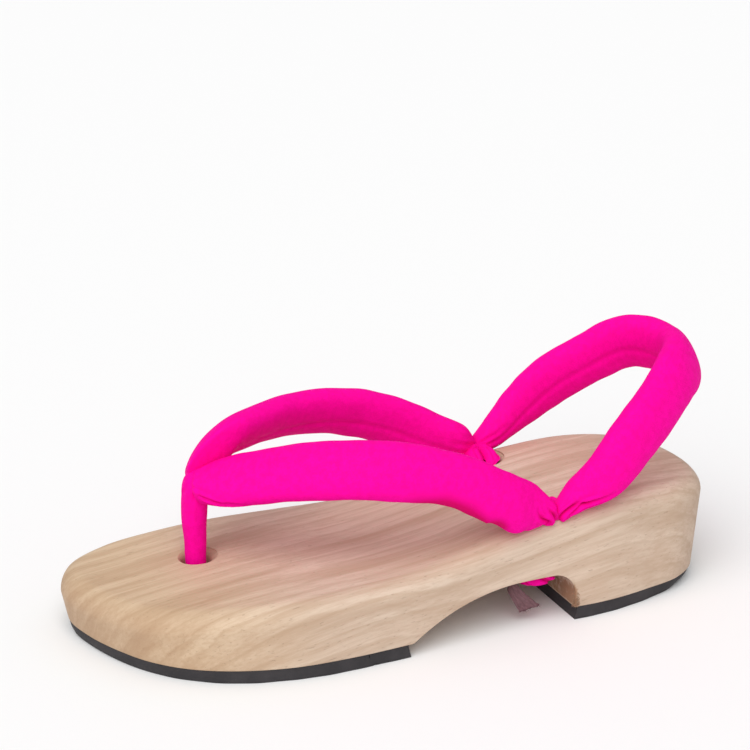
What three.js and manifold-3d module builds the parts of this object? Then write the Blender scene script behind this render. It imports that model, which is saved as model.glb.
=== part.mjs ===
// Left geta sandal: a wooden base with a raised heel and rubber treads, a padded V strap held by a toe loop,
// and a padded heel strap.
// Millimetres, +Z up. The toe end points to -Y, +X is the outer side, and the treads stand on z = 0.

import * as THREE from 'three';
import { mergeVertices } from 'three/addons/utils/BufferGeometryUtils.js';
import Module from 'manifold-3d';

const wasm = await Module();
wasm.setup();

// Wooden base
const BASE_LENGTH = 240;
const BALL_WIDTH = 92;
const HEEL_HEIGHT = 45;
const TOE_HEIGHT = 23.5;
const WALL_FLARE = 3;
const TOP_ROUND_TOE = 8;
const TOP_ROUND = 6.5;
const BOTTOM_ROUND = 0.6;
const OUTLINE_STEPS = 80;
const ROUND_STEPS = 4;

// Arch cut through the base from side to side
const ARCH_HEIGHT = 19.5;
const ARCH_CORNER = 9;

// Rubber treads
const TREAD_THICKNESS = 5;
const TREAD_BEVEL = 1.6;
const TREAD_WALL_INSET = 0.4;

// Holes for the straps
const FRONT_HOLE = 11;
const RECESS = 25;
const RECESS_DEPTH = 10;
const REAR_HOLE = 12.5;
const HOLE_COUNTERSINK = 2.5;
const RECESS_TOP = TREAD_THICKNESS + RECESS_DEPTH;
const BORE_SIDES = 24;
const RECESS_SIDES = 32;

// Straps. The rises are heights of a strap's centre line over the bed, the top of the base. HEEL_STRAP_INSET
// is how far the heel strap's centre line stands in from the back end. JOINT_RISE is the share of STRAP_RISE
// at which the two arms join.
const STRAP_WIDTH = 22;
const STRAP_THICKNESS = 12;
const STRAP_RISE = 38;
const HEEL_STRAP_RISE = 40;
const HEEL_STRAP_INSET = 4.5;
const JOINT_RISE = 0.77;
const TOE_LOOP_WIDTH = 10.5;
const TOE_LOOP_THICKNESS = 9;
const SECTION_POINTS = 18;
const ARM_STEPS = 34;
const LOOP_STEPS = 16;
const HEEL_STEPS = 52;

// Knots and cord ends
const FRONT_KNOT = { x: 17, y: 15, z: 8 };
const REAR_KNOT = { x: 15, y: 16, z: 6 };
const KNOT_SHIFT = -3.5;
const FOLD_DEPTH = 0.07;
const LUMP_SIDES = 20;
const CORD_WIDTH = 5;
const CORD_THICKNESS = 1.4;
const CORD_STEPS = 14;
const CORD_SIDES = 8;
// Route of a cord end from the middle of its rear hole, in mm, with z under the crown of the arch,
// and the way its face looks.
const CORD_ROUTE = [
  [-9.4, -0.5, -3.4],
  [-8.6, -8.0, -3.4],
  [-3.6, -13.0, -3.4],
  [2.4, -14.4, -4.0],
  [4.4, -13.2, -7.0],
  [4.8, -10.6, -10.7],
  [5.2, -7.2, -14.7],
];
const CORD_FACE = [
  [-1, -0.2, 0],
  [-0.8, -1, 0],
  [-0.3, -1, 0],
  [0.4, -1, 0],
  [1, -0.6, 0],
  [1, -0.3, 0],
  [1, -0.3, 0],
];

const CLEARANCE = 0.3;

// Outline of the base at the bottom of its wall, from the toe tip up the outer side, round the heel and back.
// along is a share of BASE_LENGTH from the toe, across a share of BALL_WIDTH towards the outer side.
const OUTLINE = [
  { along: 0.000, across: -0.285 },
  { along: 0.010, across: -0.105 },
  { along: 0.036, across: 0.072 },
  { along: 0.067, across: 0.212 },
  { along: 0.112, across: 0.330 },
  { along: 0.175, across: 0.420 },
  { along: 0.255, across: 0.477 },
  { along: 0.340, across: 0.487 },
  { along: 0.435, across: 0.471 },
  { along: 0.550, across: 0.440 },
  { along: 0.670, across: 0.414 },
  { along: 0.790, across: 0.411 },
  { along: 0.870, across: 0.372 },
  { along: 0.936, across: 0.318 },
  { along: 0.982, across: 0.208 },
  { along: 1.000, across: 0.015 },
  { along: 0.984, across: -0.190 },
  { along: 0.930, across: -0.315 },
  { along: 0.850, across: -0.375 },
  { along: 0.740, across: -0.385 },
  { along: 0.620, across: -0.390 },
  { along: 0.500, across: -0.425 },
  { along: 0.380, across: -0.480 },
  { along: 0.270, across: -0.510 },
  { along: 0.160, across: -0.520 },
  { along: 0.080, across: -0.505 },
  { along: 0.022, across: -0.430 },
];

// Rise of the bed: 0 at TOE_HEIGHT, 1 at HEEL_HEIGHT.
const BED = [
  { along: 0.00, rise: -0.03 },
  { along: 0.06, rise: 0.03 },
  { along: 0.14, rise: 0.14 },
  { along: 0.24, rise: 0.235 },
  { along: 0.36, rise: 0.28 },
  { along: 0.44, rise: 0.33 },
  { along: 0.52, rise: 0.45 },
  { along: 0.60, rise: 0.66 },
  { along: 0.68, rise: 0.86 },
  { along: 0.76, rise: 0.96 },
  { along: 0.84, rise: 1.00 },
  { along: 0.92, rise: 0.96 },
  { along: 1.00, rise: 0.86 },
];

// How far the wall leans out from its bottom to its top, as a share of WALL_FLARE,
// and how far the tread is ground back, as a share of TREAD_BEVEL.
const WALL = [
  { along: 0.00, flare: 0.70, bevel: 1.00 },
  { along: 0.06, flare: 0.60, bevel: 0.90 },
  { along: 0.15, flare: 0.30, bevel: 0.25 },
  { along: 0.25, flare: 0.15, bevel: 0.00 },
  { along: 0.80, flare: 0.15, bevel: 0.00 },
  { along: 0.93, flare: 0.60, bevel: 1.35 },
  { along: 1.00, flare: 1.00, bevel: 3.00 },
];

// Places along and across the base.
const STATION = {
  frontHole: { along: 0.190, across: -0.150 },
  archStart: { along: 0.446, across: 0 },
  archCrown: { along: 0.640, across: 0 },
  archEnd: { along: 0.733, across: 0 },
  lateralHole: { along: 0.697, across: 0.302 },
  medialHole: { along: 0.697, across: -0.280 },
};

// Centre line of each strap arm from the toe loop to its rear hole.
// rise is a share of STRAP_RISE over the bed, width and thickness are shares of the strap's own,
// and face is the angle in degrees that the outer face looks up from level.
const LATERAL_ARM = [
  { along: 0.197, across: -0.135, rise: JOINT_RISE, width: 0.72, thickness: 0.95, face: 62 },
  { along: 0.228, across: -0.060, rise: 0.80, width: 0.92, thickness: 1.00, face: 58 },
  { along: 0.262, across: 0.015, rise: 0.86, width: 0.98, thickness: 1.00, face: 54 },
  { along: 0.308, across: 0.110, rise: 0.94, width: 1.00, thickness: 1.00, face: 48 },
  { along: 0.360, across: 0.215, rise: 1.00, width: 1.00, thickness: 1.00, face: 40 },
  { along: 0.445, across: 0.320, rise: 0.96, width: 1.00, thickness: 1.00, face: 32 },
  { along: 0.535, across: 0.380, rise: 0.70, width: 0.98, thickness: 1.00, face: 24 },
  { along: 0.610, across: 0.405, rise: 0.35, width: 0.92, thickness: 0.98, face: 20 },
  { along: 0.658, across: 0.385, rise: 0.17, width: 0.82, thickness: 0.90, face: 20 },
];
const MEDIAL_ARM = [
  { along: 0.197, across: -0.165, rise: JOINT_RISE, width: 0.72, thickness: 0.95, face: 62 },
  { along: 0.222, across: -0.200, rise: 0.94, width: 0.92, thickness: 1.00, face: 50 },
  { along: 0.257, across: -0.245, rise: 1.05, width: 1.00, thickness: 1.00, face: 45 },
  { along: 0.305, across: -0.305, rise: 1.06, width: 1.00, thickness: 1.00, face: 42 },
  { along: 0.375, across: -0.385, rise: 1.03, width: 1.00, thickness: 1.00, face: 38 },
  { along: 0.465, across: -0.420, rise: 0.92, width: 1.00, thickness: 1.00, face: 32 },
  { along: 0.545, across: -0.415, rise: 0.68, width: 0.98, thickness: 1.00, face: 25 },
  { along: 0.615, across: -0.385, rise: 0.36, width: 0.92, thickness: 0.98, face: 20 },
  { along: 0.658, across: -0.352, rise: 0.19, width: 0.80, thickness: 0.90, face: 20 },
];

// Centre line of the heel strap's outer half, from the rear hole to the back of the heel.
// along runs from the hole (0) to the back of the strap (1), and rise is a share of HEEL_STRAP_RISE.
const HEEL_HALF = [
  { along: 0.040, across: 0.355, rise: 0.06, width: 0.60, thickness: 0.85, face: 14 },
  { along: 0.130, across: 0.392, rise: 0.14, width: 0.84, thickness: 0.92, face: 14 },
  { along: 0.270, across: 0.405, rise: 0.32, width: 0.98, thickness: 1.00, face: 14 },
  { along: 0.470, across: 0.368, rise: 0.60, width: 1.00, thickness: 1.00, face: 15 },
  { along: 0.665, across: 0.302, rise: 0.83, width: 1.02, thickness: 1.00, face: 18 },
  { along: 0.845, across: 0.223, rise: 0.98, width: 1.06, thickness: 1.00, face: 21 },
  { along: 0.955, across: 0.128, rise: 1.01, width: 1.10, thickness: 1.00, face: 23 },
  { along: 1.000, across: 0.000, rise: 1.00, width: 1.10, thickness: 1.00, face: 23 },
];

const UP = new THREE.Vector3(0, 0, 1);

// Smooth value of one column of a table whose rows are ordered by along.
function valueAt(rows, column, along) {
  const last = rows.length - 1;
  let k = 0;
  while (k < last - 1 && rows[k + 1].along < along) k += 1;
  const slope = (i) => {
    const before = rows[Math.max(i - 1, 0)];
    const after = rows[Math.min(i + 1, last)];
    return (after[column] - before[column]) / (after.along - before.along);
  };
  const span = rows[k + 1].along - rows[k].along;
  const t = THREE.MathUtils.clamp((along - rows[k].along) / span, 0, 1);
  const t2 = t * t;
  const t3 = t2 * t;
  return (2 * t3 - 3 * t2 + 1) * rows[k][column] + (t3 - 2 * t2 + t) * span * slope(k)
    + (3 * t2 - 2 * t3) * rows[k + 1][column] + (t3 - t2) * span * slope(k + 1);
}

// Value of one column at a fractional row number.
function valueAtRow(rows, column, at) {
  const k = Math.min(Math.floor(at), rows.length - 2);
  return THREE.MathUtils.lerp(rows[k][column], rows[k + 1][column], at - k);
}

const alongOf = (y) => y / BASE_LENGTH + 0.5;
const yOf = (along) => (along - 0.5) * BASE_LENGTH;
const xOf = (across) => across * BALL_WIDTH;
const bedHeight = (y) => TOE_HEIGHT
  + (HEEL_HEIGHT - TOE_HEIGHT) * valueAt(BED, 'rise', THREE.MathUtils.clamp(alongOf(y), 0, 1));
const placeOf = (station) => new THREE.Vector3(xOf(station.across), yOf(station.along), 0);

// Closed body through rings of equal count. A ring runs anticlockwise seen against the way of the loft.
// paired caps join each point to the one across from it, and the others fan out from the ring's centre.
function loft(rings, paired = false) {
  const count = rings[0].length;
  const points = rings.flat();
  const faces = [];
  for (let j = 0; j < rings.length - 1; j += 1) {
    for (let i = 0; i < count; i += 1) {
      const a = j * count + i;
      const b = j * count + (i + 1) % count;
      faces.push(a, b, b + count, a, b + count, a + count);
    }
  }
  const cap = (start, ring, outward) => {
    const face = (a, b, c) => (outward ? faces.push(a, b, c) : faces.push(a, c, b));
    if (paired) {
      for (let i = 0; i < count / 2; i += 1) {
        const far = (count - i) % count;
        const next = count - i - 1;
        if (i > 0) face(start + i, start + i + 1, start + far);
        if (next !== i + 1) face(start + far, start + i + 1, start + next);
      }
      return;
    }
    const centre = new THREE.Vector3();
    ring.forEach((point) => centre.addScaledVector(point, 1 / count));
    points.push(centre);
    for (let i = 0; i < count; i += 1) {
      face(points.length - 1, start + i, start + (i + 1) % count);
    }
  };
  cap(0, rings[0], false);
  cap((rings.length - 1) * count, rings[rings.length - 1], true);
  const geometry = new THREE.BufferGeometry().setFromPoints(points);
  geometry.setIndex(faces);
  return geometry;
}

function solidOf(geometry) {
  geometry.deleteAttribute('normal');
  geometry.deleteAttribute('uv');
  const merged = mergeVertices(geometry, 1e-4);
  return new wasm.Manifold(new wasm.Mesh({
    numProp: 3,
    vertProperties: merged.attributes.position.array,
    triVerts: new Uint32Array(merged.index.array),
  }));
}

function geometryOf(solid) {
  const mesh = solid.getMesh();
  const geometry = new THREE.BufferGeometry();
  geometry.setAttribute('position', new THREE.BufferAttribute(new Float32Array(mesh.vertProperties), 3));
  geometry.setIndex(new THREE.BufferAttribute(new Uint32Array(mesh.triVerts), 1));
  geometry.computeVertexNormals();
  return geometry;
}

// Points of the outline with the inward direction at each, paired so that point i lies across from
// point OUTLINE_STEPS - i.
function outlinePoints() {
  const rows = OUTLINE.map(({ along, across }) => new THREE.Vector3(xOf(across), yOf(along), 0));
  const curve = new THREE.CatmullRomCurve3(rows, true, 'centripetal');
  curve.arcLengthDivisions = 1200;
  let heelAt = 0;
  for (let u = 0; u <= 1; u += 0.001) {
    if (curve.getPointAt(u).y > curve.getPointAt(heelAt).y) heelAt = u;
  }
  const half = OUTLINE_STEPS / 2;
  const points = [];
  for (let i = 0; i < OUTLINE_STEPS; i += 1) {
    const u = i <= half ? (heelAt * i) / half : heelAt + ((1 - heelAt) * (i - half)) / half;
    const tangent = curve.getTangentAt(u % 1);
    points.push({ point: curve.getPointAt(u % 1), inward: new THREE.Vector3(-tangent.y, tangent.x, 0) });
  }
  return points;
}
const EDGE = outlinePoints();

// One ring of the outline, moved inwards by inset(y) and lifted to height(y).
function outlineRing(inset, height) {
  return EDGE.map(({ point, inward }) => {
    const moved = point.clone().addScaledVector(inward, inset(point.y));
    moved.z = height(moved.y);
    return moved;
  });
}

const wallValue = (column, y) => valueAt(WALL, column, THREE.MathUtils.clamp(alongOf(y), 0, 1));

// A round bar between two heights, with a cone opened out at its top by sink.
function bore(station, diameter, bottom, top, sink = 0) {
  const radius = diameter / 2;
  const profile = [
    new THREE.Vector2(0, bottom),
    new THREE.Vector2(radius, bottom),
    new THREE.Vector2(radius, top - sink),
    new THREE.Vector2(radius + sink, top),
    new THREE.Vector2(radius + sink, top + HEEL_HEIGHT),
    new THREE.Vector2(0, top + HEEL_HEIGHT),
  ];
  const geometry = new THREE.LatheGeometry(profile, BORE_SIDES);
  geometry.rotateX(Math.PI / 2);
  geometry.translate(station.x, station.y, 0);
  return solidOf(geometry);
}

// The arch as a bar across the base: a long curve up from the front, a level crown and a tight corner.
function archBar() {
  const start = yOf(STATION.archStart.along);
  const crown = yOf(STATION.archCrown.along);
  const end = yOf(STATION.archEnd.along);
  const floor = TREAD_THICKNESS;
  const shape = new THREE.Shape();
  shape.moveTo(start, -floor);
  shape.lineTo(start, 0.9 * floor);
  shape.bezierCurveTo(
    start + 0.28 * (crown - start), floor + 0.62 * (ARCH_HEIGHT - floor),
    start + 0.62 * (crown - start), ARCH_HEIGHT,
    crown, ARCH_HEIGHT,
  );
  shape.lineTo(end - ARCH_CORNER, ARCH_HEIGHT);
  shape.absarc(end - ARCH_CORNER, ARCH_HEIGHT - ARCH_CORNER, ARCH_CORNER, Math.PI / 2, 0, true);
  shape.lineTo(end, -floor);
  shape.closePath();
  const geometry = new THREE.ExtrudeGeometry(shape, {
    depth: 2 * BALL_WIDTH, bevelEnabled: false, curveSegments: 14,
  });
  geometry.applyMatrix4(new THREE.Matrix4().makeBasis(
    new THREE.Vector3(0, 1, 0), new THREE.Vector3(0, 0, 1), new THREE.Vector3(1, 0, 0),
  ));
  geometry.translate(-BALL_WIDTH, 0, 0);
  return solidOf(geometry);
}

const FRONT_HOLE_PLACE = placeOf(STATION.frontHole);
const REAR_HOLE_PLACE = {
  lateral: placeOf(STATION.lateralHole),
  medial: placeOf(STATION.medialHole),
};

// The wooden base. grow makes the same form larger all round, to trim the padding that presses on it.
function baseSolid(grow = 0) {
  const bottom = TREAD_THICKNESS;
  const round = (y) => TOP_ROUND + (TOP_ROUND_TOE - TOP_ROUND) * wallValue('flare', Math.min(y, 0));
  const wall = (y) => bedHeight(y) - round(y);
  const flare = (share) => (y) => -grow - share * WALL_FLARE * wallValue('flare', y);
  const rings = [
    outlineRing((y) => BOTTOM_ROUND + flare(0)(y), () => bottom - grow),
    outlineRing(flare(0), () => bottom + BOTTOM_ROUND - grow),
    outlineRing(flare(0.5), (y) => (bottom + wall(y)) / 2),
  ];
  for (let k = 0; k <= ROUND_STEPS; k += 1) {
    const angle = (k / ROUND_STEPS) * (Math.PI / 2);
    rings.push(outlineRing(
      (y) => flare(1)(y) + round(y) * (1 - Math.cos(angle)),
      (y) => wall(y) + round(y) * Math.sin(angle) + grow,
    ));
  }
  let solid = solidOf(loft(rings, true)).subtract(archBar());
  const front = FRONT_HOLE_PLACE;
  solid = solid.subtract(bore(front, FRONT_HOLE - 2 * grow, 0, bedHeight(front.y), HOLE_COUNTERSINK));
  if (grow === 0) solid = solid.subtract(recessBar(0, RECESS_TOP));
  for (const place of Object.values(REAR_HOLE_PLACE)) {
    solid = solid.subtract(bore(place, REAR_HOLE - 2 * grow, bottom, bedHeight(place.y), HOLE_COUNTERSINK));
  }
  return solid;
}

function recessBar(bottom, top) {
  const geometry = new THREE.CylinderGeometry(RECESS / 2, RECESS / 2, top - bottom, RECESS_SIDES);
  geometry.rotateX(Math.PI / 2);
  geometry.translate(FRONT_HOLE_PLACE.x, FRONT_HOLE_PLACE.y, (top + bottom) / 2);
  return solidOf(geometry);
}

// A rubber tread: the outline between two lengths, ground back at the toe and heel ends.
function treadSolid(from, to) {
  const bevel = (share) => (y) => TREAD_WALL_INSET + share * TREAD_BEVEL * wallValue('bevel', y);
  const whole = solidOf(loft([
    outlineRing(bevel(1), () => 0),
    outlineRing(bevel(0.3), () => TREAD_THICKNESS / 2),
    outlineRing(bevel(0), () => TREAD_THICKNESS),
  ], true));
  const length = to - from;
  const box = new THREE.BoxGeometry(2 * BALL_WIDTH, length, 4 * TREAD_THICKNESS);
  box.translate(0, from + length / 2, 0);
  return whole.intersect(solidOf(box)).subtract(recessBar(-TREAD_THICKNESS, 2 * TREAD_THICKNESS));
}

// Padded tube through stations { centre, outer, width, thickness }. outer is the way that its face looks.
function paddedTube(stations, steps, grow = 0) {
  const path = new THREE.CatmullRomCurve3(stations.map((station) => station.centre), false, 'centripetal');
  const rings = [];
  for (let j = 0; j <= steps; j += 1) {
    const t = j / steps;
    const at = t * (stations.length - 1);
    const k = Math.min(Math.floor(at), stations.length - 2);
    const along = path.getTangent(t);
    const outer = stations[k].outer.clone().lerp(stations[k + 1].outer, at - k);
    outer.addScaledVector(along, -outer.dot(along)).normalize();
    const across = new THREE.Vector3().crossVectors(outer, along);
    const centre = path.getPoint(t);
    const halfWidth = valueAtRow(stations, 'width', at) / 2 + grow;
    const halfThickness = valueAtRow(stations, 'thickness', at) / 2 + grow;
    rings.push(Array.from({ length: SECTION_POINTS }, (unused, i) => {
      const angle = (i / SECTION_POINTS) * 2 * Math.PI;
      return centre.clone()
        .addScaledVector(across, halfWidth * Math.cos(angle))
        .addScaledVector(outer, halfThickness * Math.sin(angle));
    }));
  }
  return solidOf(loft(rings));
}

// The way a strap's outer face looks, from its neighbours on the path. side is 1 outside, -1 inside.
function facing(previous, next, side, face) {
  const along = new THREE.Vector3().subVectors(next, previous).normalize();
  const level = new THREE.Vector3().crossVectors(along, UP).normalize().multiplyScalar(side);
  const angle = THREE.MathUtils.degToRad(face);
  return level.multiplyScalar(Math.cos(angle)).addScaledVector(UP, Math.sin(angle));
}

// Stations of a strap from its table.
function tableStations(rows, centres, side) {
  return rows.map(({ width, thickness, face }, i) => ({
    centre: centres[i],
    outer: facing(centres[Math.max(i - 1, 0)], centres[Math.min(i + 1, rows.length - 1)], side, face),
    width: width * STRAP_WIDTH,
    thickness: thickness * STRAP_THICKNESS,
  }));
}

// The pinched end of a strap in its half of a rear hole: forward is -1 for the front half, 1 for the back.
// It swells a little over the mouth, outwards and away from the other strap.
function holeStations(place, forward, side) {
  const offset = (forward * REAR_HOLE) / 4;
  const width = REAR_HOLE / 2 - 2 * CLEARANCE;
  const thickness = 0.56 * REAR_HOLE;
  const mouth = { outwards: 0.09, away: 0.08, over: 0.12, swell: 1.25 };
  const bed = bedHeight(place.y);
  const outer = new THREE.Vector3(side, 0, 0);
  const at = (x, y, z, swell) => ({
    centre: new THREE.Vector3(place.x + side * x, place.y + offset + forward * y, z),
    outer,
    width: width * swell,
    thickness: thickness * swell,
  });
  return [
    at(mouth.outwards * REAR_HOLE, mouth.away * REAR_HOLE, bed + mouth.over * REAR_HOLE, mouth.swell),
    at(0, 0, bed - HOLE_COUNTERSINK, 1),
    at(0, 0, (bed + ARCH_HEIGHT) / 2, 1),
    at(0, 0, ARCH_HEIGHT, 1),
  ];
}

function armSolid(rows, side, place, grow = 0) {
  const centres = rows.map(({ along, across, rise }) => {
    const y = yOf(along);
    return new THREE.Vector3(xOf(across), y, bedHeight(y) + rise * STRAP_RISE);
  });
  const stations = [...tableStations(rows, centres, side), ...holeStations(place, -1, side)];
  return paddedTube(stations, ARM_STEPS, grow);
}

// The toe loop: up through the front hole and round the front of the joint of the two arms.
function toeLoopSolid() {
  const place = FRONT_HOLE_PLACE;
  const bed = bedHeight(place.y);
  const joint = JOINT_RISE * STRAP_RISE;
  const rows = [
    { z: RECESS_TOP, back: 0, width: 0.72, thickness: 0.75 },
    { z: bed - HOLE_COUNTERSINK, back: 0, width: 0.76, thickness: 0.80 },
    { z: bed + 0.25 * joint, back: -0.02, width: 0.88, thickness: 0.90 },
    { z: bed + 0.55 * joint, back: 0.02, width: 0.95, thickness: 1.05 },
    { z: bed + 0.85 * joint, back: 0.22, width: 1.00, thickness: 1.50 },
    { z: bed + 1.10 * joint, back: 0.38, width: 1.00, thickness: 1.50 },
    { z: bed + 1.24 * joint, back: 0.48, width: 0.70, thickness: 0.95 },
  ];
  const stations = rows.map(({ z, back, width, thickness }) => ({
    centre: new THREE.Vector3(place.x, place.y + back * TOE_LOOP_THICKNESS, z),
    outer: new THREE.Vector3(0, -1, 0),
    width: width * TOE_LOOP_WIDTH,
    thickness: thickness * TOE_LOOP_THICKNESS,
  }));
  return paddedTube(stations, LOOP_STEPS);
}

// The heel strap: out of one rear hole, round behind the heel and into the other.
function heelStrapSolid() {
  const start = REAR_HOLE_PLACE.lateral.y;
  const reach = BASE_LENGTH / 2 - HEEL_STRAP_INSET - start;
  const point = ({ along, across, rise }, side) => new THREE.Vector3(
    side * xOf(across),
    start + along * reach,
    HEEL_HEIGHT + rise * HEEL_STRAP_RISE,
  );
  const half = HEEL_HALF.slice(0, -1);
  const rows = [...HEEL_HALF, ...half.reverse()];
  const centres = rows.map((row, i) => point(row, i < HEEL_HALF.length ? 1 : -1));
  const middle = tableStations(rows, centres, 1);
  const out = holeStations(REAR_HOLE_PLACE.lateral, 1, 1).reverse();
  const back = holeStations(REAR_HOLE_PLACE.medial, 1, -1);
  return paddedTube([...out, ...middle, ...back], HEEL_STEPS);
}

// A knotted lump of fabric with soft folds, flat at top, where it is pulled up against the wood.
function lumpSolid(centre, top, size, folds) {
  const geometry = new THREE.SphereGeometry(1, LUMP_SIDES, LUMP_SIDES * 0.6);
  geometry.rotateX(Math.PI / 2);
  const position = geometry.attributes.position;
  for (let i = 0; i < position.count; i += 1) {
    const x = position.getX(i);
    const y = position.getY(i);
    const z = position.getZ(i);
    const swell = 1 + FOLD_DEPTH * Math.cos(folds * Math.atan2(y, x)) * (1 - z * z);
    position.setXYZ(
      i,
      centre.x + 0.5 * size.x * swell * x,
      centre.y + 0.5 * size.y * swell * y,
      Math.min(top - 0.4 * size.z + 0.6 * size.z * z, top),
    );
  }
  return solidOf(geometry);
}

// Flat cord end: bound round the front of its knot, then hanging down in front of the heel block.
function cordSolid(place, side) {
  const path = new THREE.CatmullRomCurve3(
    CORD_ROUTE.map(([x, y, z]) => new THREE.Vector3(place.x + side * x, place.y + y, ARCH_HEIGHT + z)),
    false,
    'centripetal',
  );
  const normals = CORD_FACE.map(([x, y, z]) => new THREE.Vector3(side * x, y, z));
  const rings = [];
  for (let j = 0; j <= CORD_STEPS; j += 1) {
    const t = j / CORD_STEPS;
    const at = t * (normals.length - 1);
    const k = Math.min(Math.floor(at), normals.length - 2);
    const along = path.getTangent(t);
    const outer = normals[k].clone().lerp(normals[k + 1], at - k);
    outer.addScaledVector(along, -outer.dot(along)).normalize();
    const across = new THREE.Vector3().crossVectors(outer, along);
    rings.push(Array.from({ length: CORD_SIDES }, (unused, i) => {
      const angle = ((i + 0.5) / CORD_SIDES) * 2 * Math.PI;
      const corner = Math.cos(Math.PI / CORD_SIDES);
      return path.getPoint(t)
        .addScaledVector(across, (CORD_WIDTH / 2) * Math.cos(angle) / corner)
        .addScaledVector(outer, (CORD_THICKNESS / 2) * Math.sin(angle) / corner);
    }));
  }
  return solidOf(loft(rings));
}

const WOOD = new THREE.MeshStandardMaterial({ color: 0xdcc2a4, roughness: 0.6, metalness: 0 });
const RUBBER = new THREE.MeshStandardMaterial({ color: 0x3a3638, roughness: 0.85, metalness: 0 });
const FABRIC = new THREE.MeshStandardMaterial({ color: 0xff00a0, roughness: 0.75, metalness: 0 });
const CORD = new THREE.MeshStandardMaterial({ color: 0x8b6f74, roughness: 0.9, metalness: 0 });

const sandal = new THREE.Group();
const cords = new THREE.Group();

function addPiece(parent, name, solid, material) {
  const mesh = new THREE.Mesh(geometryOf(solid), material);
  mesh.name = name;
  parent.add(mesh);
}

const base = baseSolid();
const trim = baseSolid(CLEARANCE);
const lateralArm = armSolid(LATERAL_ARM, 1, REAR_HOLE_PLACE.lateral);
const medialArm = armSolid(MEDIAL_ARM, -1, REAR_HOLE_PLACE.medial);
const bothArmsGrown = armSolid(LATERAL_ARM, 1, REAR_HOLE_PLACE.lateral, CLEARANCE)
  .add(armSolid(MEDIAL_ARM, -1, REAR_HOLE_PLACE.medial, CLEARANCE));

addPiece(sandal, 'wood_base', base, WOOD);
addPiece(sandal, 'front_tread', treadSolid(-BASE_LENGTH, yOf(STATION.archStart.along)), RUBBER);
addPiece(sandal, 'heel_tread', treadSolid(yOf(STATION.archEnd.along), BASE_LENGTH), RUBBER);
addPiece(sandal, 'thong_strap', lateralArm.add(medialArm).add(toeLoopSolid()).subtract(trim), FABRIC);
addPiece(sandal, 'heel_strap', heelStrapSolid().subtract(bothArmsGrown).subtract(trim), FABRIC);

addPiece(sandal, 'front_knot', lumpSolid(FRONT_HOLE_PLACE, RECESS_TOP - CLEARANCE, FRONT_KNOT, 3), FABRIC);
for (const [name, side] of [['lateral', 1], ['medial', -1]]) {
  const place = REAR_HOLE_PLACE[name];
  const centre = new THREE.Vector3(place.x, place.y + KNOT_SHIFT, 0);
  addPiece(sandal, `rear_knot_${name}`, lumpSolid(centre, ARCH_HEIGHT - CLEARANCE, REAR_KNOT, 5), FABRIC);
  addPiece(cords, `tie_cord_${name}`, cordSolid(place, side), CORD);
}

// The origin is on the floor, under the middle of the sandal's box.
const box = new THREE.Box3().setFromObject(sandal);
const group = new THREE.Group();
group.add(sandal, cords);
group.position.set(-(box.min.x + box.max.x) / 2, -(box.min.y + box.max.y) / 2, 0);
group.updateMatrixWorld(true);

export default group;
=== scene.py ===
import math

import bmesh
import bpy
import numpy as np
from mathutils import Matrix, Vector


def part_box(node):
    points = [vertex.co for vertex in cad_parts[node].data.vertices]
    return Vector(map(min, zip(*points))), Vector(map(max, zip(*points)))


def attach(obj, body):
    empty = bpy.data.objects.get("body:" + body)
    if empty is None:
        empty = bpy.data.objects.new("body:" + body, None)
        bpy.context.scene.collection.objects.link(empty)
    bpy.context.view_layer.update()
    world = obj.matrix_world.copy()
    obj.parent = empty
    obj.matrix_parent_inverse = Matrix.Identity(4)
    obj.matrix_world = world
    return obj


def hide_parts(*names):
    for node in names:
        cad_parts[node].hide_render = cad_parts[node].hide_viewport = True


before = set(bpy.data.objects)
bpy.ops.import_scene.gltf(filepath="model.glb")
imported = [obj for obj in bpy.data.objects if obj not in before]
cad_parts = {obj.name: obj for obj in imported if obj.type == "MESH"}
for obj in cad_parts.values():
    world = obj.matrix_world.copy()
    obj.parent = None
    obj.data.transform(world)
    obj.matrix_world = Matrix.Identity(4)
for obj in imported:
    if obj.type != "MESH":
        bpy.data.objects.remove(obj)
for start_object in ("Cube", "Light", "Camera"):
    if start_object in bpy.data.objects:
        bpy.data.objects.remove(bpy.data.objects[start_object])
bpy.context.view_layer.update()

# Camera
# It looks at the outer side of the left sandal from a little in front of the toe, and down by 20 degrees,
# through a long lens. The places are in the part's own frame.
MM = 0.001
CAMERA_PLACE = Vector((834.07, -368.67, 423.54)) * MM
CAMERA_AZIMUTH = math.radians(66.634)
CAMERA_ELEVATION = math.radians(20)
FOCAL_LENGTH_IN_PIXELS = 2653.2
PICTURE_PIXELS = 750
SENSOR_MM = 36.0


def object_in_scene(name, data):
    made = bpy.data.objects.new(name, data)
    bpy.context.scene.collection.objects.link(made)
    return made


camera = object_in_scene("camera", bpy.data.cameras.new("camera"))
bpy.context.scene.camera = camera
camera.data.sensor_width = SENSOR_MM
camera.data.lens = FOCAL_LENGTH_IN_PIXELS * SENSOR_MM / PICTURE_PIXELS
camera_right = Vector((math.cos(CAMERA_AZIMUTH), math.sin(CAMERA_AZIMUTH), 0))
camera_back = Vector((
    math.sin(CAMERA_AZIMUTH) * math.cos(CAMERA_ELEVATION),
    -math.cos(CAMERA_AZIMUTH) * math.cos(CAMERA_ELEVATION),
    math.sin(CAMERA_ELEVATION),
))
camera_axes = Matrix((camera_right, camera_back.cross(camera_right), camera_back)).transposed()
camera.matrix_world = Matrix.Translation(CAMERA_PLACE) @ camera_axes.to_4x4()

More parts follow.
